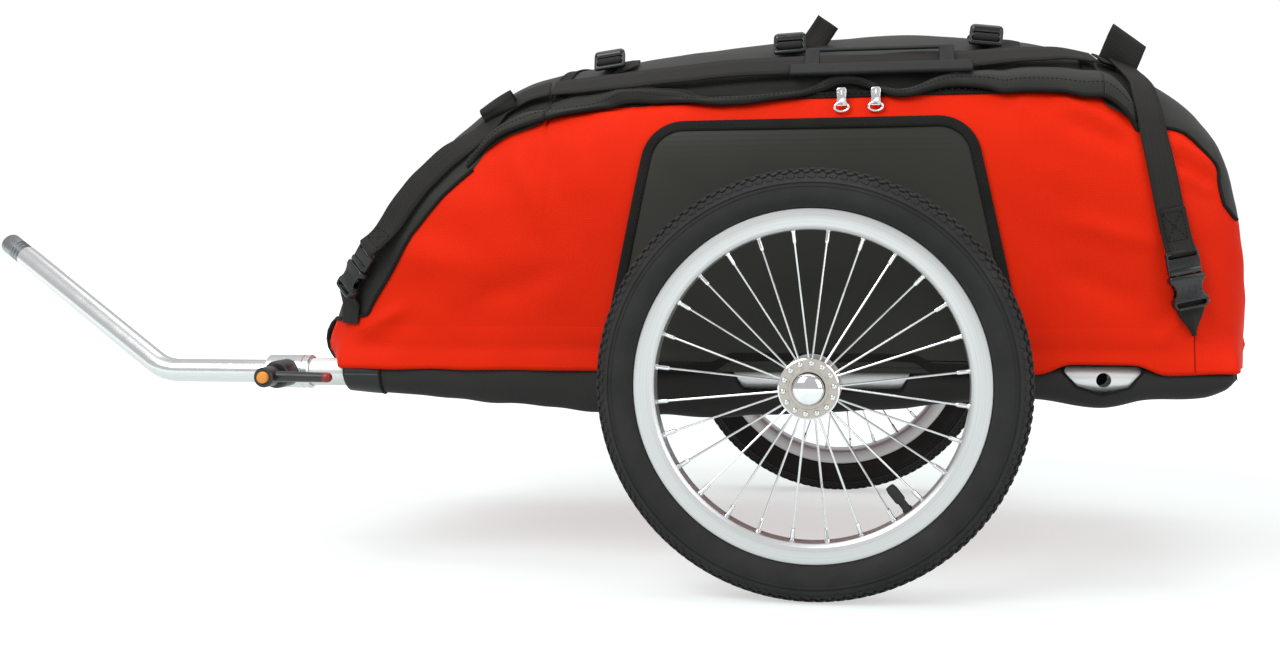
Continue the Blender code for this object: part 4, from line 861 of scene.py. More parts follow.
def inner_tube(word, hub_frame):
    """Butyl air tube inside the tyre, with its rubber valve stem and cap pointing at the hub."""
    ring = [
        (0.1745 + 0.0115 * cos(-turn), 0.0115 * sin(-turn))
        for turn in (2 * pi * step / 12 for step in range(12))
    ]
    tube = spun(f"{word}_air_tube", ring, hub_frame, steps=48)
    valve = hub_frame @ wheel_turn(VALVE_SLOT) @ about("Y", pi / 2)
    stem = [
        (0.0, 0.168), (0.004, 0.168), (0.004, 0.14), (0.0048, 0.1396), (0.0048, 0.138), (0.0038, 0.137),
        (0.0036, 0.1302), (0.0046, 0.1298), (0.0046, 0.116), (0.004, 0.1134), (0.0028, 0.113), (0.0, 0.113),
    ]
    stem = spun(f"{word}_valve_stem", stem, valve, 32, ring=False)
    knurls = bmesh.new()
    for step in range(12):
        grip = valve @ about("Z", step * pi / 6) @ moved(0.0045, 0, 0.1225)
        cylinder(knurls, 0.0005, -0.0058, 0.0058, grip, sides=6)
    cap = new_piece(f"{word}_valve_grip", knurls)
    dress(joined(f"{word}_tube_and_valve", tube, stem, cap), f"{word}_wheel", "butyl", f"{word}_inner_tube")


for word, side in SIDES.items():
    hub_frame = outward(side)
    tyre(word, hub_frame)
    rim(word, hub_frame)
    spokes(word, hub_frame)
    hub(word, hub_frame)
    inner_tube(word, hub_frame)


# Frame tubes, clamp and drawbar

CLAMP_X = -0.536
DRAWBAR_CORNER = Vector((AXLE_X - 0.676, -FRAME_HALF_WIDTH, AXLE_HEIGHT))
DRAWBAR_TIP = Vector((AXLE_X - 0.8935, -0.107, 0.3135))
DRAWBAR_BEND = 0.055
DRAWBAR_RADIUS = 0.012
drawbar_inner_end = Vector((AXLE_X - 0.26, -FRAME_HALF_WIDTH, AXLE_HEIGHT))


def bent_route(start, corner, end, radius, steps=16):
    """Two straight runs joined by an arc."""
    return [start, *corner_arc(start, corner, end, radius, steps), end]


def side_tubes():
    """Tubes open at both ends, drilled for the axle sockets and for a second wheel position."""
    for word, side in SIDES.items():
        wall, end = 0.0014, 0.0006
        radius = SIDE_TUBE_RADIUS
        profile = [
            (radius - wall, FRAME_FRONT + end), (radius - end, FRAME_FRONT), (radius, FRAME_FRONT + end),
            (radius, FRAME_REAR - end), (radius - end, FRAME_REAR), (radius - wall, FRAME_REAR - end),
        ]
        tube = spun(f"{word}_frame_tube", profile, along_x(side * FRAME_HALF_WIDTH), 64)
        holes = bmesh.new()
        cylinder(holes, 0.0093, -0.02, 0.02, outward(side, 0, FRAME_HALF_WIDTH), 32)
        cylinder(holes, 0.0067, -0.02, 0.02, outward(side, 0.264, FRAME_HALF_WIDTH), 32)
        if side < 0:
            cylinder(holes, 0.0046, -0.002, 0.02, outward(side, CLAMP_X, FRAME_HALF_WIDTH), 24)
        cut(tube, holes)
        # The side tubes wear the tube's lighter copy, whose colour is a painted highlight
        dress(tube, "frame_and_bag", "alu", f"{word}_side_tube", look=frame_alu_painted_bright)


def clamp():
    """Collar with its boss, and the indexing lever: black head and arm, red tip and orange button."""
    half, radius, bore = 0.0235, 0.017, 0.01445
    tube_line = along_x(-FRAME_HALF_WIDTH, CLAMP_X)
    collar = spun("drawbar_collar", [
        (bore, -half), (radius - 0.0012, -half), (radius, -half + 0.0012), (radius, half - 0.0085),
        (radius - 0.0006, half - 0.008), (radius - 0.0006, half - 0.007), (radius, half - 0.0065),
        (radius, half - 0.0012), (radius - 0.0012, half), (bore, half),
    ], tube_line, 64)
    dress(collar, "frame_and_bag", "alu", "clamp_collar")
    axis = outward(-1, CLAMP_X, FRAME_HALF_WIDTH)
    boss = spun("clamp_boss_ring", [
        (0.0046, 0.0165), (0.0138, 0.0125), (0.0138, 0.0385), (0.0132, 0.04), (0.0118, 0.041),
        (0.0092, 0.041), (0.0088, 0.0404), (0.0046, 0.0404),
    ], axis, 64)
    dress(boss, "frame_and_bag", "black_plastic", "clamp_boss", look=clamp_plastic)

    head = spun("lever_head", [
        (0.0, 0.062), (0.0063, 0.062), (0.0063, 0.0694), (0.0067, 0.07), (0.009, 0.07), (0.0099, 0.069),
        (0.01, 0.068), (0.01, 0.051), (0.0096, 0.05), (0.0078, 0.045), (0.0072, 0.0445), (0.004, 0.0445),
        (0.004, 0.0123), (0.0, 0.0123),
    ], axis, 64, ring=False)

    def bar(name, route, *thickness):
        """A bar of the lever along (out from the pivot, height) points."""
        return rod(name, [axis @ Vector((out, 0, height)) for out, height in route], *thickness)

    route = [(0.007, 0.0565), (0.016, 0.057), (0.03, 0.0586), (0.044, 0.0604), (0.0605, 0.0622)]
    arm = bar("lever_arm", route, 0.005, 8, [0.0056, 0.0054, 0.0052, 0.005, 0.0048])
    body = joined("clamp_lever_body", head, arm)
    dress(body, "clamp_lever", "black_plastic", "clamp_lever", look=clamp_plastic)
    tip_route = [
        (0.059, 0.062), (0.0608, 0.0622), (0.064, 0.0626), (0.0662, 0.0628), (0.0676, 0.063),
        (0.0684, 0.0631),
    ]
    tip = bar("lever_tip", tip_route, 0.0056, 10, [0.0044, 0.005, 0.005, 0.0044, 0.0032, 0.0012])
    dress(tip, "clamp_lever", "black_plastic", look=tip_plastic)
    button = spun("lever_push_button", [
        (0.0, 0.0638), (0.0058, 0.0638), (0.006, 0.0644), (0.006, 0.0712), (0.0054, 0.0726), (0.004, 0.0731),
        (0.0, 0.0733),
    ], axis, 64, ring=False)
    dress(button, "lever_button", "orange_plastic", "lever_button")


def drawbar():
    """The bent tube and the ringed plug on its tip."""
    route = bent_route(drawbar_inner_end, DRAWBAR_CORNER, DRAWBAR_TIP, DRAWBAR_BEND)
    dress(rod("drawbar_bent_tube", route, DRAWBAR_RADIUS, 14), "drawbar", "alu", "drawbar_tube")
    direction = (DRAWBAR_TIP - DRAWBAR_CORNER).normalized()
    aim = Matrix.Translation(DRAWBAR_TIP) @ aimed(direction)
    radius, groove = 0.0115, 0.0099
    plug = [(0.0, 0.034), (radius - 0.0014, 0.034), (radius - 0.0004, 0.0335), (radius, 0.0325)]
    for height in (0.013, 0.008, 0.003):
        plug += [(radius, height + 0.0024), (groove, height + 0.0016)]
        plug += [(groove, height), (radius, height - 0.0008)]
    plug += [(radius, 0.0008), (radius - 0.0005, 0.0003), (0.008, 0.0003), (0.008, -0.02), (0.0, -0.02)]
    plug = spun("ringed_coupling_plug", plug, aim, 64, ring=False)
    dress(plug, "drawbar", "dark_steel", "coupling_plug", look=zinc)


side_tubes()
clamp()
drawbar()


# Bag

CLOTH = 0.0022
BAG_FRONT, BAG_REAR = BAG_TOP[0][0], BAG_TOP[-1][0]


def spaced(start, end, count):
    return [start + (end - start) * step / (count - 1) for step in range(count)]


def eased(share):
    share = min(max(share, 0), 1)
    return share * share * (3 - 2 * share)


def within(x, start, rise, end, fall):
    """1 between start and end, eased in over rise and out over fall, and 0 outside."""
    return eased((x - start) / rise) * eased((end - x) / fall)


def left_creases(x, z):
    """The left side's own creases, and the tuck in the cloth beneath the taut edge webbing."""
    height = 0.0
    for (x0, z0), (x1, z1), width, proud in LEFT_CREASES:
        way = Vector((x1 - x0, z1 - z0))
        along = max(min((Vector((x, z)) - Vector((x0, z0))).dot(way) / way.length_squared, 1), 0)
        away = (Vector((x, z)) - Vector((x0, z0)) - way * along).length
        if away < 3 * width:
            height += proud * exp(-((away / width) ** 2)) * eased(2.5 * min(along, 1 - along) + 0.25)
    tuck_drop, tuck_depth, tuck_reach = 0.0175, 0.0075, 0.006
    from_tuck = z - smooth(EDGE_STRAP_HEIGHTS, x) + tuck_drop
    inside = within(x, -0.3, 0.04, 0.11, 0.03)
    return height - tuck_depth * inside * exp(-((from_tuck / tuck_reach) ** 2))


def folds(point):
    """How far the bag's cloth stands off its plain form here; it is calm behind the wheel guards."""
    x = point.x - AXLE_X
    guard_middle, half_at_foot, half_lost, foot, side_from = -0.0095, 0.2145, 0.256, 0.214, 0.15
    own = left_creases(x, point.z) if point.y < -side_from else 0.0
    guard_half = half_at_foot - half_lost * (point.z - foot)
    past_guard = max(abs(x - guard_middle) - guard_half, point.z - GUARD_TOP)
    if abs(point.y) < side_from:
        past_guard = 1
    return creases(point) * eased(past_guard / 0.05) + own * eased(past_guard / 0.012)


def on_bag(x, turn, lift=0.0):
    point = bag_point(x, turn)
    return point + bag_normal(x, turn) * (lift + folds(point))


def panel(name, front, rear, columns, rows, turns, caps=()):
    """A cloth panel from front to rear, between the two turns that turns(x) gives."""
    first, last = share_of(front), share_of(rear)

    def place(along, across):
        x = profile_x(first + (last - first) * along)
        start, end = turns(x)
        turn = start + (end - start) * across
        point = on_bag(x, turn)
        if (along == 0 and "front" in caps) or (along == 1 and "rear" in caps):
            belly = section(x)[1]
            point.z = belly + (point.z - belly) * 0.05
            point.x += 0.002 if along else -0.002
        return point

    return sheet(name, columns, rows, place, CLOTH, -1, 70)


def share_of(x):
    """The share of the top's outline at which it reaches x."""
    low, high = 0.0, 1.0
    for _ in range(40):
        middle = (low + high) / 2
        low, high = (middle, high) if profile_x(middle) < x else (low, middle)
    return (low + high) / 2


def bag():
    """Red tub with skirts over the side tubes, black nose and tail, and the lid."""

    def above(x, height):
        left = turn_at_height(x, height)
        return left, pi - left

    def above_seam(x):
        return above(x, between(SEAM_HEIGHTS, x))

    def above_hem(x):
        return above(x, HEM_HEIGHT + 0.0006)

    def below_seam(x):
        left, _ = above_seam(x)
        return 3 * pi - left, left

    tub = panel("tub", BAG_FRONT, BAG_REAR, 260, 120, below_seam, caps=("front", "rear"))
    dress(joined("red_tub", tub, skirt()), "frame_and_bag", "red_cloth", "bag_tub")
    nose = panel("black_nose", -0.5035, LID_FRONT, 60, 90, above_seam)
    dress(nose, "frame_and_bag", "black_cloth", "nose_panel")
    tail = panel("black_tail", LID_REAR, 0.3945, 44, 90, above_seam)
    dress(tail, "frame_and_bag", "black_cloth", "tail_panel")
    lid = panel("lid_cloth", LID_FRONT + 0.0006, LID_REAR - 0.0006, 110, 90, above_hem)
    dress(lid, "lid", "black_cloth", "lid_cover")


def side_wall(x, z):
    """How far the bag's side cloth is from the middle plane, down over the side tubes' sleeves."""
    lowest_wall, waist, flare = 0.222, 0.238, 0.038
    wall = -on_bag(x, turn_at_height(x, max(z, lowest_wall))).y
    past_tube = within(x, -0.5, 0.026, 0.394, 0.016)
    over_tube = FRAME_HALF_WIDTH + 0.018 + 0.0006 * sin(x * 70)
    share = eased((waist - z) / flare) * past_tube
    return wall + 0.0006 - 0.002 * eased((z - 0.232) / 0.03) + (over_tube - wall) * share


def skirt_foot(x):
    """The height of the red cloth's foot: raised over both wheel positions, and round at the front."""
    at_axle = within(x, -0.1, 0.03, 0.112, 0.03)
    at_spare_hole = within(x, 0.205, 0.03, 0.32, 0.03)
    radius = 0.052
    past_corner = min(max(-0.468 - x, 0), radius)
    at_front = radius - sqrt(radius * radius - past_corner * past_corner)
    at_rear = 0.0025 * eased((x - 0.33) / 0.04)
    return 0.2 + 0.0135 * at_axle + 0.0095 * at_spare_hole + at_rear + at_front


def skirt():
    """Red cloth that goes on below the tub's walls and over the sleeves, all round but for the front."""
    front, rear, top = -0.513, 0.3995, 0.262
    first, last = share_of(front), share_of(rear)
    plan = [(profile_x(share), LEFT) for share in spaced(first, last, 220)]
    plan += [(BAG_REAR, way) for way in spaced(-0.9, 0.9, 24)]
    plan += [(x, RIGHT) for x, _ in reversed(plan[:220])]

    def place(along, across):
        x, side = plan[round(along * (len(plan) - 1))]
        foot = skirt_foot(x) + 0.0008 * noise.noise(Vector((x * 25, side, 0)))
        z = foot + (max(top, foot + 0.004) - foot) * across
        if abs(side) < 1:
            proud = 0.0012 - 0.003 * eased((z - 0.236) / 0.026)
            return Vector((AXLE_X + BAG_REAR + proud, side * 0.15, z))
        return Vector((AXLE_X + x, side * side_wall(x, z), z))

    return sheet("skirt", len(plan) - 1, 14, place, 0.0016, -1, 70)


bag()


# Bag's trim


def length_of(points):
    return sum((b - a).length for a, b in zip(points, points[1:]))


def evenly(points, spacing):
    """Points and directions along a line, one each spacing or a little less."""
    count = max(int(length_of(points) / spacing) + 1, 1)
    step = length_of(points) / count
    found, run, target = [], 0.0, step / 2
    for a, b in zip(points, points[1:]):
        span = (b - a).length
        while target <= run + span and len(found) < count:
            found.append((a.lerp(b, (target - run) / span), (b - a).normalized()))
            target += step
        run += span
    return found


def stitches(name, *lines, spacing=0.0042, length=0.0028, radius=0.00042):
    """Rows of lockstitch; the thread is drawn a third thicker than it is, so that it shows."""
    bm = bmesh.new()
    for line in lines:
        for place, way in evenly(line, spacing):
            turned = aimed(way, "X", "Z")
            size = scaled(length / 2, radius, radius)
            bmesh.ops.create_uvsphere(
                bm, u_segments=6, v_segments=4, radius=1, matrix=Matrix.Translation(place) @ turned @ size
            )
    return new_piece(name, bm, angle=80)


def sew(name, body, slot, *lines):
    """Rows of stitches on a body."""
    dress(stitches(name, *lines), body, slot, look=thread)


def mirrored_turn(turn, side):
    """A left-hand turn as it is, or its mirror image on the right."""
    return turn if side < 0 else pi - turn


def seam_line(front, rear, side, lift, drop=0.0, count=60):
    """Points along the seam between the red cloth and the black."""
    first, last = share_of(front), share_of(rear)
    line = []
    for share in spaced(first, last, count):
        x = profile_x(share)
        turn = turn_at_height(x, between(SEAM_HEIGHTS, x) - drop)
        line.append(on_bag(x, mirrored_turn(turn, side), lift))
    return line


def flap_place(x, across, lift=0.0):
    """The storm flap's outer face: a padded band with a rolled foot, sewn down along its top."""
    ends = within(x, -0.345, 0.03, 0.2945, 0.012)
    height = smooth(FLAP_HEIGHTS, x)
    plump = sin(pi * (0.12 + 0.88 * across) ** 0.8) * (0.0045 + 0.1 * height)
    off = 0.0008 + ends * (0.0022 + plump - 0.0052 * across ** 4)
    ripple = 0.0009 * ends * noise.noise(Vector((x * 38, across * 2.5, 3.1))) * (1 - across)
    return on_bag(x, turn_at_height(x, smooth(FLAP_EDGE, x) + height * across), off + ripple + lift)


def storm_flap():
    """The padded black flap over the zip, its corded foot and its stitching, split where the lid ends."""
    spans = (
        ("front", "frame_and_bag", -0.345, LID_FRONT - 0.0002, 24),
        ("lid", "lid", LID_FRONT + 0.0002, LID_REAR - 0.0002, 170),
        ("rear", "frame_and_bag", LID_REAR + 0.0002, 0.293, 14),
    )
    for word, body, front, rear, columns in spans:

        def place(along, across):
            return flap_place(front + (rear - front) * along, across)

        flap = sheet(f"{word}_storm_flap", columns, 14, place, 0.002, -1, 70)
        dress(flap, body, "black_cloth")
        xs = spaced(front, rear, columns + 1)
        cord = rod(f"{word}_flap_cord", [flap_place(x, 0.0, -0.0006) for x in xs], 0.0021, 3)
        bind(cord, body)
        sew(f"{word}_flap_stitches", body, "black_cloth", [flap_place(x, 0.3, 0.0002) for x in xs])


def piping():
    """Corded piping in the seams, the binding of the lid's ends and the hinge tape on the right."""
    cords = []
    for word, side in SIDES.items():
        rear = 0.384
        runs = [(-0.5, -0.338), (0.3, rear)] if side < 0 else [(-0.5, rear)]
        for i, (start, end) in enumerate(runs):
            cords.append(rod(f"{word}_cord_{i}", seam_line(start, end, side, 0.001, count=70), 0.0018, 3))
        rim = [
            (-0.5, 0.166, 0.249), (-0.507, 0.16, 0.242), (-0.513, 0.154, 0.234), (-0.516, 0.15, 0.2255),
            (-0.5142, 0.151, 0.2175), (-0.5082, 0.157, 0.2105), (-0.5005, 0.167, 0.2052),
            (-0.493, 0.177, 0.2022),
        ]
        line = [Vector((AXLE_X + x, side * y, z)) for x, y, z in rim]
        radii = [0.0014, 0.003, 0.0034, 0.0034, 0.0034, 0.003, 0.0022, 0.001]
        cords.append(rod(f"{word}_rim_cord", line, 0.003, 4, radii))
    sill = [Vector((AXLE_X - 0.5155, y, 0.2255)) for y in spaced(-0.151, 0.151, 9)]
    cords.append(rod("front_sill_cord", sill, 0.003, 4))
    bind(joined("seam_piping", *cords))
    # A thin cord down each rear corner: the seam, with its shadow line painted into the cord's darker red
    seam_x, seams = 0.3435, []
    for word, side in SIDES.items():
        down = [Vector((AXLE_X + seam_x, side * side_wall(seam_x, z), z)) for z in spaced(0.236, 0.2035, 12)]
        seams.append(rod(f"{word}_seam", down, 0.0006, 2))
    dress(joined("rear_corner_seams_and_shade", *seams), "frame_and_bag", "red_cloth", look=red_seam_shade)

    tapes, rows = [], []
    for word, x in (("front", LID_FRONT + 0.008), ("rear", LID_REAR - 0.008)):
        start = turn_at_height(x, HEM_HEIGHT + 0.001)
        route = [(x, turn) for turn in spaced(start, pi - start, 41)]
        tapes.append(strap(f"{word}_lid_tape", lying(route, 0.001), 120, width=0.014, thickness=0.001))
        for way in (-0.0052, 0.0052):
            rows.append([on_bag(x + way, turn, 0.0017) for turn in spaced(start, pi - start, 160)])
    bind(joined("lid_end_binding", *tapes), "lid")
    sew("lid_binding_stitches", "lid", "black_cloth", *rows)
    xs = spaced(LID_FRONT + 0.002, LID_REAR - 0.002, 41)
    hem = [(x, pi - turn_at_height(x, HEM_HEIGHT - 0.0075)) for x in xs]
    hinge = strap("lid_hinge_tape", lying(hem, 0.001), 120, width=0.01, thickness=0.001)
    bind(hinge)


def lying(route, lift):
    """Where webbing lies along a route on the bag; its height off the cloth may change along it."""
    return lambda share: surface_frame(route, share, lift(share) if callable(lift) else lift)


def box_stitch(place, start, end, width=WEBBING_WIDTH, lift=0.001):
    """A sewn rectangle with a cross in it, on webbing whose frames place gives."""
    half = width / 2 - 0.003

    def at(share, across):
        return place(share) @ Vector((0, across, lift))

    corners = [(start, -half), (end, -half), (end, half), (start, half), (start, -half)]
    lines = []
    cross = [((start, -half), (end, half)), ((start, half), (end, -half))]
    for (a, low), (b, high) in [*zip(corners, corners[1:]), *cross]:
        lines.append([at(a + (b - a) * k / 8, low + (high - low) * k / 8) for k in range(9)])
    return lines


def lid_straps():
    """Three straps over the lid, sewn down on the right, and the taut webbing along its left edge."""
    for word, x in CROSS_STRAP_PLACES.items():
        start = LOCK_WIDTHS[word] - 0.004
        route = [(x, turn_at_width(x, y)) for y in spaced(start, CROSS_STRAP_FAR_END, 28)]
        near_lock = 0.1

        def lift(share):
            return 0.0022 + 0.006 * (1 - eased(share / near_lock))

        place = lying(route, lift)
        web = strap(f"{word}_lid_webbing", place, 100)
        dress(web, "lid", "webbing", f"{word}_cross_strap")
        sew(f"{word}_lid_webbing_stitches", "lid", "webbing", *box_stitch(place, 0.93, 0.985))

    route = [side_place(*station) for station in EDGE_STRAP_HEIGHTS]

    def taut(share):
        bridge = exp(-((share - 0.33) / 0.12) ** 2) + 0.7 * exp(-((share - 0.9) / 0.08) ** 2)
        return 0.0066 + 0.0028 * bridge

    place = lying(route, taut)
    dress(strap("edge_webbing", place, 160), "lid", "webbing", "edge_strap")


def front_strap_place(z):
    return side_place(smooth(FRONT_STRAP_LINE, z), z)


def rear_strap_place(z):
    return side_place(REAR_STRAP_KNEE.x + (REAR_STRAP_KNEE.y - z) * tan(REAR_STRAP_LEAN), z)


BUCKLES = {"front": (front_strap_place, FRONT_BUCKLE_HEIGHT), "rear": (rear_strap_place, REAR_BUCKLE_HEIGHT)}


def lengthwise_frame(x, y, lift):
    """A frame on the bag's upper half: X along the bag, Z outwards."""
    step = 0.01
    return surface_frame([(place, turn_at_width(place, y)) for place in (x - step, x, x + step)], 0.5, lift)


def strap_fold(name, placed, height, taller_end, slant):
    """The ear that stands up where the strap turns: one wide fold, slanted along its top."""
    width, radius = 0.037, 0.0058
    leg = height - radius - WEBBING

    def place(along, across):
        run = (2 * leg + pi * radius) * across
        if run < leg:
            side, up = -radius - 0.0015 * sin(pi * run / leg), run
        elif run < leg + pi * radius:
            turn = (run - leg) / radius
            side, up = -radius * cos(turn), leg + radius * sin(turn)
        else:
            side, up = radius + 0.001 * sin(pi * (run - leg) / leg), 2 * leg + pi * radius - run
        x = (along - 0.5) * width
        up *= 1 + taller_end * slant * x / (width * height)
        bow = 0.0012 * sin(5 * along + 9 * across)
        return placed @ Vector((x, side + bow, up))

    return sheet(name, 12, 44, place, WEBBING)


def to_the_bar(share, length, base, rise, reach):
    """The strap's height off the bag on its way to the buckle: up to the bar, then down into the slot."""
    left = (1 - share) * length
    taut = rise * max(0, 1 - left / reach) ** 2
    return base + taut - 0.0066 * eased((0.0058 - left) / 0.0058)


def front_strap():
    at_the_lid = side_place(LID_FRONT - 0.001, EDGE_STRAP_HEIGHTS[0][1])
    loop_x, loop_y = FRONT_LOOP_PLACE
    bend = [side_place(-0.29, 0.469), (loop_x, turn_at_width(loop_x, loop_y))]
    on_nose = [front_strap_place(0.434 - step * 0.01004) for step in range(13)]
    route = [at_the_lid, *bend, *on_nose]
    length = length_of([bag_point(*place) for place in route])

    def placed(share):
        off_the_lid = 0.0036 * (1 - eased(share / 0.18))
        # Taut between the ear and the buckle, the strap leans to face sideways and its outer edge stands off
        lean = within(share, 0.2, 0.18, 0.92, 0.2)
        lift = to_the_bar(share, length, 0.0028, 0.0148, 0.074) + off_the_lid + 0.0048 * lean
        return surface_frame(route, share, lift) @ about("X", radians(-23) * lean)

    web = strap("nose_webbing", placed, 130)
    ear = strap_fold("nose_ear", lengthwise_frame(*FRONT_LOOP_PLACE, 0.0022), 0.016, 1, 0.007)
    dress(joined("nose_strap", web, ear), "frame_and_bag", "webbing", "front_strap")
    sew("nose_strap_stitches", "frame_and_bag", "webbing", *box_stitch(placed, 0.86, 0.94))


def rear_strap():
    loop_x, loop_y = REAR_LOOP_PLACE
    loop_place = (loop_x, turn_at_width(loop_x, loop_y))
    past_loop = loop_x + 0.006
    shoulder = [loop_place, (past_loop, turn_at_width(past_loop, loop_y - 0.023))]
    down = [rear_strap_place(REAR_STRAP_KNEE.y - step * 0.01035) for step in range(16)]
    route = shoulder + down
    length = length_of([bag_point(*place) for place in route])
    standing = 0.0045

    def lift(share):
        return to_the_bar(share, length, 0.0032, 0.0094, 0.05) + standing * (1 - eased(share / 0.45))

    place = lying(route, lift)
    web = strap("tail_webbing", place, 150)

    def on_itself(share):
        return place(0.74 + 0.235 * share) @ moved(0, 0.0016, 0.0021)

    doubled = strap("tail_doubled_end", on_itself, 30, width=0.0225)
    at_the_lid = side_place(LID_REAR + 0.001, EDGE_STRAP_HEIGHTS[-1][1])
    link_route = [at_the_lid, (past_loop, loop_place[1])]
    link = strap("tail_link", lying(link_route, lambda share: 0.007 - 0.0046 * eased(share)), 40)
    ear = strap_fold("tail_ear", lengthwise_frame(*REAR_LOOP_PLACE, 0.001), 0.034, -1, 0.0108)
    dress(joined("tail_strap", web, doubled, link, ear), "frame_and_bag", "webbing", "rear_strap")
    sew("tail_strap_stitches", "frame_and_bag", "webbing", *box_stitch(place, 0.76, 0.9, lift=0.0034))


def lower_webs():
    """Webbing that holds each buckle's lower half: flat on the nose, folded to a point at the rear seam."""
    tapers = {"front": 0.1, "rear": 0.86}
    for word, (at, height) in BUCKLES.items():
        taper = tapers[word]
        route = [at(height - drop) for drop in (0.018, 0.026, 0.034, 0.043, 0.052)]
        place_on = lying(route, lambda share: 0.0085 * (1 - eased(share / 0.5)) + 0.0022)

        def place(along, across):
            narrow = 1 - taper * eased((along - 0.3) / 0.7)
            side = (across - 0.5) * WEBBING_WIDTH * narrow
            ridge = 0.006 * taper * eased((along - 0.15) / 0.5) * (1 - abs(across - 0.5) * 2) * narrow ** 0.5
            return place_on(along) @ Vector((0, side, ridge))

        web = sheet(f"{word}_anchor_webbing", 24, 10, place, WEBBING, angle=50)
        dress(web, "frame_and_bag", "webbing", f"{word}_lower_web")


def plain_frame(route, lift):
    """A surface frame on the bag's plain form, where the frame's own solids are."""
    placed = surface_frame(route, 0.5, lift)
    placed.translation = bag_point(*route_at(route, 0.5)) + bag_normal(*route_at(route, 0.5)) * lift
    return placed


def mirror_outline(half):
    """A closed outline from its right half, listed upwards."""
    return [*half, *((-x, y) for x, y in reversed(half))]


def bar_slot(low, high, half=0.0128):
    return rounded_box(-half, half, low, high, (high - low) * 0.3, 3)


def buckles():
    """Side-release buckles: a socket with scooped sides, and a prong half that shows in the scoops."""
    lift = BUCKLE_THICKNESS / 2 + 2 * WEBBING + 0.0014
    half = BUCKLE_WIDTH / 2
    for word, (at, height) in BUCKLES.items():
        route = [at(height + rise) for rise in (0.012, 0, -0.012)]
        placed = plain_frame(route, lift) @ about("Z", pi / 2)
        outline = mirror_outline([
            (0.011, -0.028), (half - 0.002, -0.0265), (half, -0.0235), (half, -0.0185),
            (half - 0.0022, -0.016), (half - 0.004, -0.012), (half - 0.004, -0.008), (half - 0.0022, -0.004),
            (half, -0.002), (half, 0.002), (half - 0.0015, 0.0035),
        ])
        outlines = [outline, bar_slot(-0.0248, -0.0212)]
        socket = plate(f"{word}_socket", outlines, BUCKLE_THICKNESS, 0.0018, placed)
        mouth = bmesh.new()
        box(mouth, (-0.0135, -0.0155, -0.0029), (0.0135, 0.01, 0.0029), placed)
        cut(socket, mouth)
        rib = bmesh.new()
        for way in (-1, 1):
            for x in (-0.006, 0.0, 0.006):
                grip = placed @ moved(x, -0.0105, way * 0.005)
                cylinder(rib, 0.0006, -0.004, 0.004, grip @ about("X", pi / 2), 8)
        socket = joined(f"{word}_buckle_socket", socket, new_piece(f"{word}_socket_ribs", rib))
        dress(socket, "frame_and_bag", "black_plastic", f"{word}_buckle_female")
        foot, top = 0.0038, 0.026
        body = mirror_outline([
            (0.002, foot + 0.0006), (0.0052, foot + 0.0006), (0.0058, -0.011), (0.0084, -0.0122),
            (0.0108, -0.0106), (0.0122, -0.007), (0.01, -0.004), (0.0098, foot), (0.014, foot),
            (0.015, foot + 0.0016), (0.015, top - 0.0016), (0.0135, top),
        ])
        outlines = [body, bar_slot(top - 0.0065, top - 0.0035)]
        prongs = plate(f"{word}_buckle_prongs", outlines, 0.0044, 0.0009, placed)
        shoulder = bmesh.new()
        box(shoulder, (-0.0142, foot + 0.0006, -0.0042), (0.0142, foot + 0.006, 0.0042), placed)
        soften(shoulder, 0.0012, 2)
        prong_half = joined(f"{word}_buckle_prong_half", prongs, new_piece(f"{word}_shoulder", shoulder))
        dress(prong_half, f"{word}_buckle_male", "black_plastic", f"{word}_buckle_male")


def ladder_locks():
    """Strap adjusters: a broad domed bar above, the webbing over the middle bar, and a lip below."""
    half, reach, lift, tilt = BUCKLE_WIDTH / 2, 0.012, 0.011, radians(32)
    for word, x in CROSS_STRAP_PLACES.items():
        route = [(x + way, turn_at_width(x, LOCK_WIDTHS[word])) for way in (-0.01, 0, 0.01)]
        placed = plain_frame(route, lift) @ about("X", tilt)
        sides = (-half, half, -reach, reach)
        outer = foot_and_head(rounded_box(*sides, 0.003, 5), rounded_box(*sides, 0.007, 8))
        slots_cut = [bar_slot(-0.0084, -0.0046, 0.0124), bar_slot(-0.0008, 0.0024, 0.0124)]
        frame_piece = plate(f"{word}_lock_frame", [outer, *slots_cut], 0.0046, 0.0014, placed)
        bars = bmesh.new()
        rolls = ((0.007, 0.0008, 0.0048, half - 0.005), (-0.01, 0.0004, 0.0023, half - 0.0026))
        for y, z, radius, end_at in rolls:
            bar = placed @ moved(0, y, z) @ scaled(1, 1, 0.72)
            bar = bar @ about("Y", pi / 2)
            cylinder(bars, radius, -end_at, end_at, bar, 32)
            for end in (-end_at, end_at):
                ball = bar @ moved(0, 0, end)
                bmesh.ops.create_uvsphere(bars, u_segments=24, v_segments=12, radius=radius, matrix=ball)
        lock = joined(f"{word}_strap_lock", frame_piece, new_piece(f"{word}_lock_rolls", bars))
        dress(lock, "lid", "black_plastic", f"{word}_ladder_lock")

        def over_bar(along, across):
            turn = pi * (1.25 * across - 0.15)
            y, z = -0.0027 + 0.0036 * cos(turn), 0.0034 * sin(turn)
            return placed @ Vector(((along - 0.5) * 0.0238, y, z))

        wrap = sheet(f"{word}_wrapped_end", 10, 16, over_bar, 0.0012)
        dress(joined(f"{word}_lock_webbing", wrap, loose_tail(word, x)), "lid", "webbing")


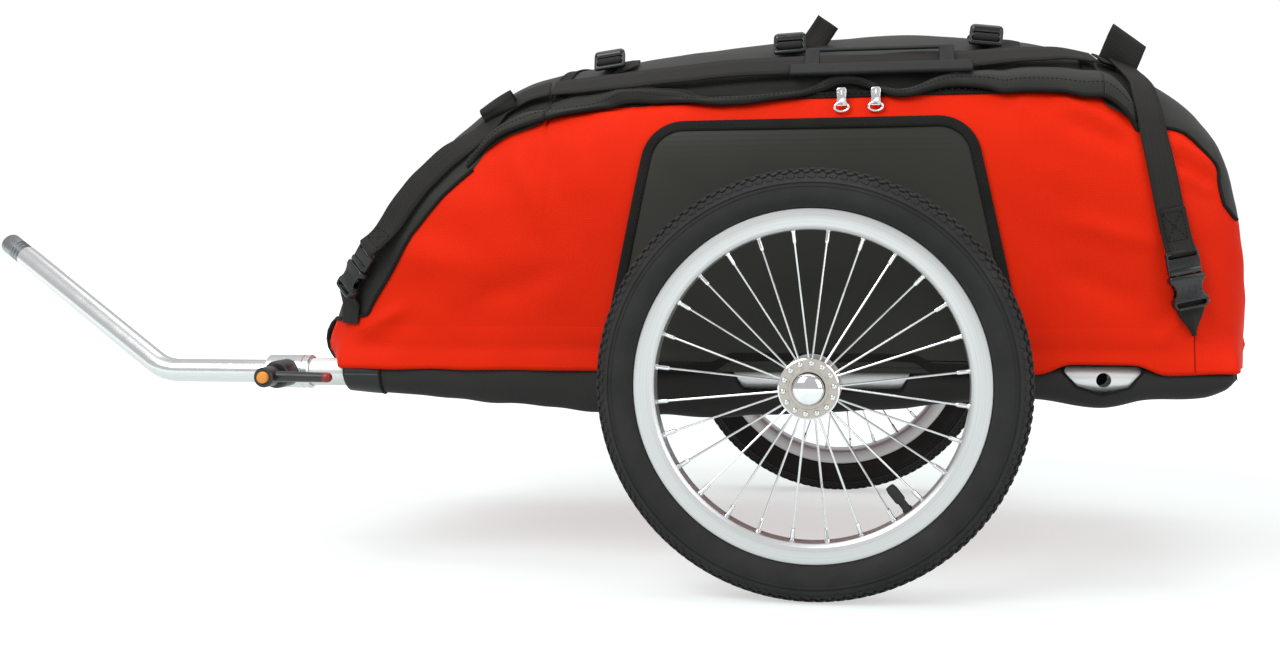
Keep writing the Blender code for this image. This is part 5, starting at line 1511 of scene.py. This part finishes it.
def loose_tail(word, x):
    """What is left of a cross strap past its lock: two ends lie along the lid, and the middle one stands."""
    if word == "middle":
        # The end leans back; its two far corners are placed from the photograph
        far, way = Vector((0.008, -0.136, 0.5425)), Vector((0.57, 0.1, 0.82))
        along_end = Vector((0.0195, 0, -0.014))

        def place(along, across):
            bend = 0.003 * sin(pi * along) + 0.001 * sin(7 * across)
            spot = far - way * 0.034 * (1 - along) + along_end * (across - 0.5) + Vector((0, bend, 0))
            return Vector((AXLE_X, 0, 0)) + spot
    else:
        far_end = 0.027 if word == "front" else 0.0335

        def place(along, across):
            back = x + 0.004 + (far_end - 0.004) * along
            width = LOCK_WIDTHS[word] + 0.0165 - 0.024 * across
            curl = 0.002 + 0.0016 * along + 0.0016 * sin(3 * along + 4 * across)
            return on_bag(back, turn_at_width(back, width), curl)

    return sheet(f"{word}_loose_tail", 16, 6, place, WEBBING)


def carry_handle():
    """The webbing handle on the lid's shoulder, with its stiff folded grip."""
    middle, upper_y, lower_y, lift = 0.06, -0.167, -0.1945, 0.0086
    upper = bag_point(middle, turn_at_width(middle, upper_y))
    lower = bag_point(middle, turn_at_width(middle, lower_y))
    up_slope = (upper - lower).normalized()
    outwards = Vector((1, 0, 0)).cross(up_slope)
    origin = Vector((AXLE_X, upper.y, upper.z)) + outwards * lift
    placed = frame_of((1, 0, 0), up_slope, outwards, origin)
    depth, grip, strip, top_bar = (upper - lower).length, 0.015, 0.014, 0.004
    grip_front, grip_rear, strip_front, strip_rear = -0.026, 0.146, -0.012, 0.129
    frame_outline = rounded_box(strip_front, strip_rear, -depth + 0.004, 0, 0.0015, 3)
    hole = rounded_box(strip_front + strip, strip_rear - strip, grip - depth, -top_bar, 0.001, 3)
    strips = plate("handle_strips", [frame_outline, hole], 0.0024, 0.0007, placed)
    pad_outline = rounded_box(grip_front, grip_rear, -depth, grip - depth, 0.002, 4)
    pad = plate("handle_pad", [pad_outline], 0.0048, 0.0018, placed @ moved(0, 0, 0.0006))
    dress(joined("webbing_handle", strips, pad), "handle", "webbing", "carry_handle", look=grip_vinyl)


def zip_and_sliders():
    """The zip's tape and teeth, and two chromed sliders with ringed pulls."""
    xs = spaced(LID_FRONT + 0.004, LID_REAR - 0.004, 60)
    route = [side_place(x, ZIP_MIDDLE + 0.0026) for x in xs]
    tape = strap("tape", lying(route, 0.0014), 150, width=0.0062, thickness=0.0008)
    teeth = bmesh.new()
    tooth_pitch = 0.003
    for i, (point, way) in enumerate(evenly([on_bag(*place, 0.0022) for place in route], tooth_pitch)):
        turned = aimed(way, "X", "Z")
        step = moved(0, 0, 0.0011 if i % 2 else -0.0011)
        placed = Matrix.Translation(point) @ turned @ step @ scaled(0.0016, 0.0014, 0.0026)
        bmesh.ops.create_cube(teeth, size=1, matrix=placed)
    soften(teeth, 0.0003)
    bind(joined("zip", tape, new_piece("teeth", teeth)), "frame_and_bag", "black_cloth", "zip_tape")

    face = bag_point(*side_place(0.05, ZIP_MIDDLE)).y - 0.0044
    depth = 0.0035
    upright = about("X", pi / 2)
    for word, x in (("front", 0.024), ("rear", 0.056)):
        height = ZIP_MIDDLE + 0.0028
        centre = moved(AXLE_X + x, face - depth / 2, height) @ upright
        shape = mirror_outline([
            (0.003, -0.0055), (0.0042, -0.004), (0.0048, 0.001), (0.0046, 0.004), (0.0034, 0.0055),
        ])
        body = plate(f"{word}_slider_body", [shape], depth, 0.0009, centre)
        arch = [(z, 0.0017 + 0.0016 * sin(pi * k / 8)) for k, z in enumerate(spaced(0.004, -0.003, 9))]
        bridge = rod(f"{word}_slider_bridge", [centre @ Vector((0, *point)) for point in arch], 0.0008, 4)
        dress(joined(f"{word}_slider", body, bridge), f"{word}_zip_slider", "steel", f"{word}_zip_slider")

        hangs = moved(AXLE_X + x, face - depth - 0.0007, height) @ upright
        tab = rounded([(-0.0049, -0.0116), (0.0049, -0.0116), (0.0035, 0.0012), (-0.0035, 0.0012)], 0.001, 4)
        eye = rounded([(-0.003, -0.0104), (0.003, -0.0104), (0.0028, -0.0078), (-0.0028, -0.0078)], 0.0008, 3)
        tab_piece = plate(f"{word}_pull_tab", [tab, eye], 0.0012, 0.0003, hangs)
        ring_points = [
            hangs @ Vector((0.0066 * sin(turn), -0.0128 - 0.0042 * cos(turn), 0))
            for turn in spaced(0, 2 * pi, 33)
        ]
        ring = rod(f"{word}_pull_ring", ring_points, 0.0012, 4)
        dress(joined(f"{word}_pull", tab_piece, ring), f"{word}_zip_pull", "steel", f"{word}_zip_pull")


storm_flap()
piping()
lid_straps()
front_strap()
rear_strap()
lower_webs()
buckles()
ladder_locks()
carry_handle()
zip_and_sliders()


# Wheel guards and sleeves


def outline_at(points, share):
    """The place and direction at a share of a closed outline's length."""
    closed = [Vector((*point, 0)) for point in [*points, points[0]]]
    target = share % 1.0 * length_of(closed)
    run = 0.0
    for a, b in zip(closed, closed[1:]):
        span = (b - a).length
        if target <= run + span:
            return a.lerp(b, (target - run) / span), (b - a).normalized()
        run += span
    return closed[0], (closed[1] - closed[0]).normalized()


def wheel_guards():
    """Stiff coated panels on the bag's sides, bound with tape and stitched."""
    corners = [(-0.2102, GUARD_FOOT), (0.1978, GUARD_FOOT), (0.145, GUARD_TOP), (-0.1594, GUARD_TOP)]
    outline = foot_and_head(rounded(corners, 0.012, 6), rounded(corners, 0.04, 10))
    thickness, off, flat_below = 0.002, 0.0012, 0.33

    def on_guard(side, x, z, lift):
        # The lower edge rises a little over the sleeve's window
        over_window = within(x, -0.1, 0.022, 0.112, 0.022)
        z += 0.011 * over_window * max(0, 1 - (z - GUARD_FOOT) / 0.045)
        wall = -bag_point(*side_place(x, max(z, flat_below))).y
        if z < 0.24:
            below = side_wall(x, z) + 0.0008
            wall = max(wall, wall + (below - wall) * eased((0.24 - z) / 0.01))
        return Vector((AXLE_X + x, side * (wall + off + lift), z))

    for word, side in SIDES.items():
        bm = taken(plate(f"{word}_guard_cloth", [outline], thickness, 0.0005, Matrix()))
        for step in range(1, 48):
            cut_at = GUARD_FOOT + (GUARD_TOP - GUARD_FOOT) * step / 48
            bmesh.ops.bisect_plane(
                bm, geom=bm.verts[:] + bm.edges[:] + bm.faces[:], plane_co=(0, cut_at, 0), plane_no=(0, 1, 0)
            )
        for vert in bm.verts:
            vert.co = on_guard(side, vert.co.x, vert.co.y, thickness / 2 + vert.co.z)
        bmesh.ops.recalc_face_normals(bm, faces=bm.faces)
        dress(new_piece(f"{word}_guard", bm), "frame_and_bag", "guard_cloth", f"{word}_wheel_guard")

        tape_width = 0.01

        def tape(along, across):
            point, way = outline_at(outline, along)
            inwards = Vector((-way.y, way.x, 0))
            point = point + inwards * (across * tape_width - 0.0004)
            rise = 0.001 if 0.08 < across < 0.92 else 0.0004
            return on_guard(side, point.x, point.y, thickness + rise)

        binding = sheet(f"{word}_tape", 220, 6, tape, 0.001, -1)
        bind(joined(f"{word}_guard_binding", binding), "frame_and_bag", "guard_cloth")
        line = []
        for share in spaced(0, 1, 400):
            point, way = outline_at(outline, share)
            point = point + Vector((-way.y, way.x, 0)) * (tape_width - 0.0032)
            line.append(on_guard(side, point.x, point.y, thickness + 0.0012))
        sew(f"{word}_guard_stitches", "frame_and_bag", "guard_cloth", line)


SLEEVE_DROP = (
    (-0.474, 0.001), (-0.426, 0.0045), (-0.156, 0.0235), (0.000, 0.02), (0.2, 0.0035), (0.264, 0.012),
    (0.3, 0.003), (0.354, 0.0), (0.378, -0.009),
)


def sleeve_place(x, turn, side, lift=0.0):
    """The sleeve's surface; a turn of 0 points out of the trailer, and a quarter turn points up."""
    drop = smooth(SLEEVE_DROP, x)
    up = sin(turn)
    wave = noise.noise(Vector((x * 30, cos(turn) * 1.5, up * 1.5 + side)))
    loose = 0.0004 + 0.0022 * max(-up, 0) * min(drop / 0.02, 1)
    radius = SLEEVE_RADIUS + lift + loose * wave
    out = side * (FRAME_HALF_WIDTH + radius * cos(turn))
    return Vector((AXLE_X + x, out, AXLE_HEIGHT + radius * up + min(up, 0) * drop))


def sleeve_turn(x, z):
    """The turn on the sleeve's outside at a height."""
    reach = SLEEVE_RADIUS + (smooth(SLEEVE_DROP, x) if z < AXLE_HEIGHT else 0)
    return asin(max(min((z - AXLE_HEIGHT) / reach, 1), -1))


def sleeves():
    """Cloth sleeves round the side tubes, slack below, with bound windows at both wheel positions."""
    axle_window = rounded([(-0.088, 0.212), (0.098, 0.212), (0.08, 0.1835), (-0.0685, 0.182)], 0.005, 5)
    spare_window = rounded(
        [(0.222, 0.2082), (0.303, 0.2082), (0.286, 0.188), (0.263, 0.182), (0.24, 0.189)], 0.0045, 5
    )
    front, rear, end_length = -0.474, 0.3705, 0.0115
    ends = [(end_length * sin(turn), cos(turn)) for turn in spaced(0.15, 1.5, 8)]
    stations = [(x, 0.0) for x in spaced(front, rear, 165)]
    stations += [(rear + out, (share - 1) * SLEEVE_RADIUS) for out, share in ends]
    for word, side in SIDES.items():

        def place(along, across):
            turn = 2 * pi * across
            x, lift = stations[round(along * (len(stations) - 1))]
            slant = 0.003 * max(-sin(turn), 0) * max(1 - (x - front) / 0.03, 0)
            return sleeve_place(x + slant, turn if side < 0 else -turn, side, lift)

        sleeve = new_piece(f"{word}_cloth_sleeve", sheet_mesh(len(stations) - 1, 48, place), angle=75)
        bm = bmesh.new()
        bm.from_mesh(sleeve.data)
        bmesh.ops.remove_doubles(bm, verts=bm.verts, dist=0.00001)
        bm.to_mesh(sleeve.data)
        solidify(applied(sleeve), 0.0012, -1)
        for outline in (axle_window, spare_window):
            outside = moved(AXLE_X, side * (FRAME_HALF_WIDTH + 0.02), 0)
            upright = outside @ about("X", pi / 2)
            cut(sleeve, taken(plate("pane", [outline], 0.03, 0.0001, upright)))
        openings = bmesh.new()
        low, high = sorted((side * 0.15, side * (FRAME_HALF_WIDTH - 0.004)))
        for x, half in ((0, 0.0115), (-0.4, 0.0145), (0.325, 0.0145)):
            corner = (AXLE_X + x - half, low, AXLE_HEIGHT - half)
            box(openings, corner, (AXLE_X + x + half, high, AXLE_HEIGHT + half))
        cut(sleeve, openings)
        dress(sleeve, "frame_and_bag", "black_cloth", f"{word}_sleeve")

        hems = []
        for i, outline in enumerate((axle_window, spare_window)):
            line = [sleeve_place(x, sleeve_turn(x, z), side, 0.0004) for x, z in [*outline, outline[0]]]
            hems.append(rod(f"{word}_hem_{i}", line, 0.0012, 3))
        edge = front + 0.0385
        ring = [sleeve_place(edge, turn, side, 0.0006) for turn in spaced(0, 2 * pi, 49)]
        hems.append(rod(f"{word}_ring", ring, 0.0013, 3))
        bind(joined(f"{word}_sleeve_hems", *hems))

        def around(along, across):
            turn = 2 * pi * across
            x = front - 0.0004 + 0.003 * max(-sin(turn), 0) * (1 - along) + (edge - front) * along
            return sleeve_place(x, turn if side < 0 else -turn, side, 0.0013)

        band = sheet(f"{word}_sleeve_band", 14, 48, around, 0.0013, -1, 75)
        dress(band, "frame_and_bag", "webbing", look=handle_cloth)


wheel_guards()
sleeves()

# Stage, lights and camera


def area_light(name, place, target, size, power):
    light = bpy.data.lights.new(name, "AREA")
    light.shape = "RECTANGLE"
    light.size, light.size_y = size
    light.energy = power
    aim = aimed(Vector(target) - Vector(place), "-Z")
    in_scene(name, light).matrix_world = Matrix.Translation(place) @ aim


def studio():
    """A seamless white floor and backdrop that keep the soft shadow, and three large soft lamps."""
    bm = bmesh.new()
    bmesh.ops.create_grid(bm, x_segments=2, y_segments=2, size=14)
    floor = new_piece("studio_floor", bm)
    made, tree = new_material("matt_white_paper", "#B3BFBD", 0.95, Specular_IOR_Level=0.0)
    rays = node(tree, "ShaderNodeLightPath", {})
    seen = maths(tree, "MAXIMUM", rays.outputs["Is Camera Ray"], rays.outputs["Is Glossy Ray"])
    away = node(tree, "ShaderNodeVectorMath", {0: place_of(tree)}, operation="LENGTH").outputs["Value"]
    fading = {"Value": away, "From Min": 1.0, "From Max": 2.4, "To Min": 0.56, "To Max": 1.1}
    glow = node(tree, "ShaderNodeMapRange", fading).outputs["Result"]
    shader = tree.nodes["Principled BSDF"]
    shader.inputs["Emission Color"].default_value = (1, 1, 1, 1)
    tree.links.new(maths(tree, "MULTIPLY", seen, glow), shader.inputs["Emission Strength"])
    floor.data.materials.append(made)

    world = bpy.data.worlds.new("white_studio")
    bpy.context.scene.world = world
    world.use_nodes = True
    tree = world.node_tree
    rays = node(tree, "ShaderNodeLightPath", {})
    mirrored = maths(tree, "MULTIPLY", rays.outputs["Is Glossy Ray"], 0.1)
    direct = maths(tree, "MULTIPLY", rays.outputs["Is Camera Ray"], 0.54)
    strength = maths(tree, "ADD", maths(tree, "ADD", mirrored, direct), 0.5)
    tree.links.new(strength, tree.nodes["Background"].inputs["Strength"])
    tree.nodes["Background"].inputs["Color"].default_value = (1, 1, 1, 1)

    middle = (AXLE_X, 0, 0.25)
    area_light("key", (AXLE_X - 1.6, -2.2, 2.6), middle, (2.0, 2.0), 74)
    area_light("fill", (AXLE_X + 2.4, -1.6, 1.5), middle, (2.0, 2.0), 27)
    area_light("top", (AXLE_X, 0.4, 3.0), middle, (3.0, 2.4), 38)


def camera():
    """The photograph's view, from the left and a little behind the axle."""
    yaw, pitch, roll = (radians(angle) for angle in (10.2, 3.2, -0.39))
    forward = Vector((-sin(yaw) * cos(pitch), cos(yaw) * cos(pitch), -sin(pitch)))
    level = forward.cross(Vector((0, 0, 1))).normalized()
    upright = level.cross(forward)
    right = level * cos(roll) + upright * sin(roll)
    up = upright * cos(roll) - level * sin(roll)
    data = bpy.data.cameras.new("photo_camera")
    data.sensor_width = 36.0
    focal_pixels, photo_width = 1452.8, 1280
    data.lens = data.sensor_width * focal_pixels / photo_width
    data.clip_start = 0.02
    obj = in_scene("photo_camera", data)
    obj.matrix_world = frame_of(right, up, -forward, (AXLE_X + 0.08, -1.604, 0.326))
    bpy.context.scene.camera = obj


studio()
camera()
bpy.context.scene.view_settings.view_transform = "Standard"

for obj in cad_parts.values():
    for i, old in enumerate(obj.data.materials):
        obj.data.materials[i] = slots.get(old.name, tube_alu)
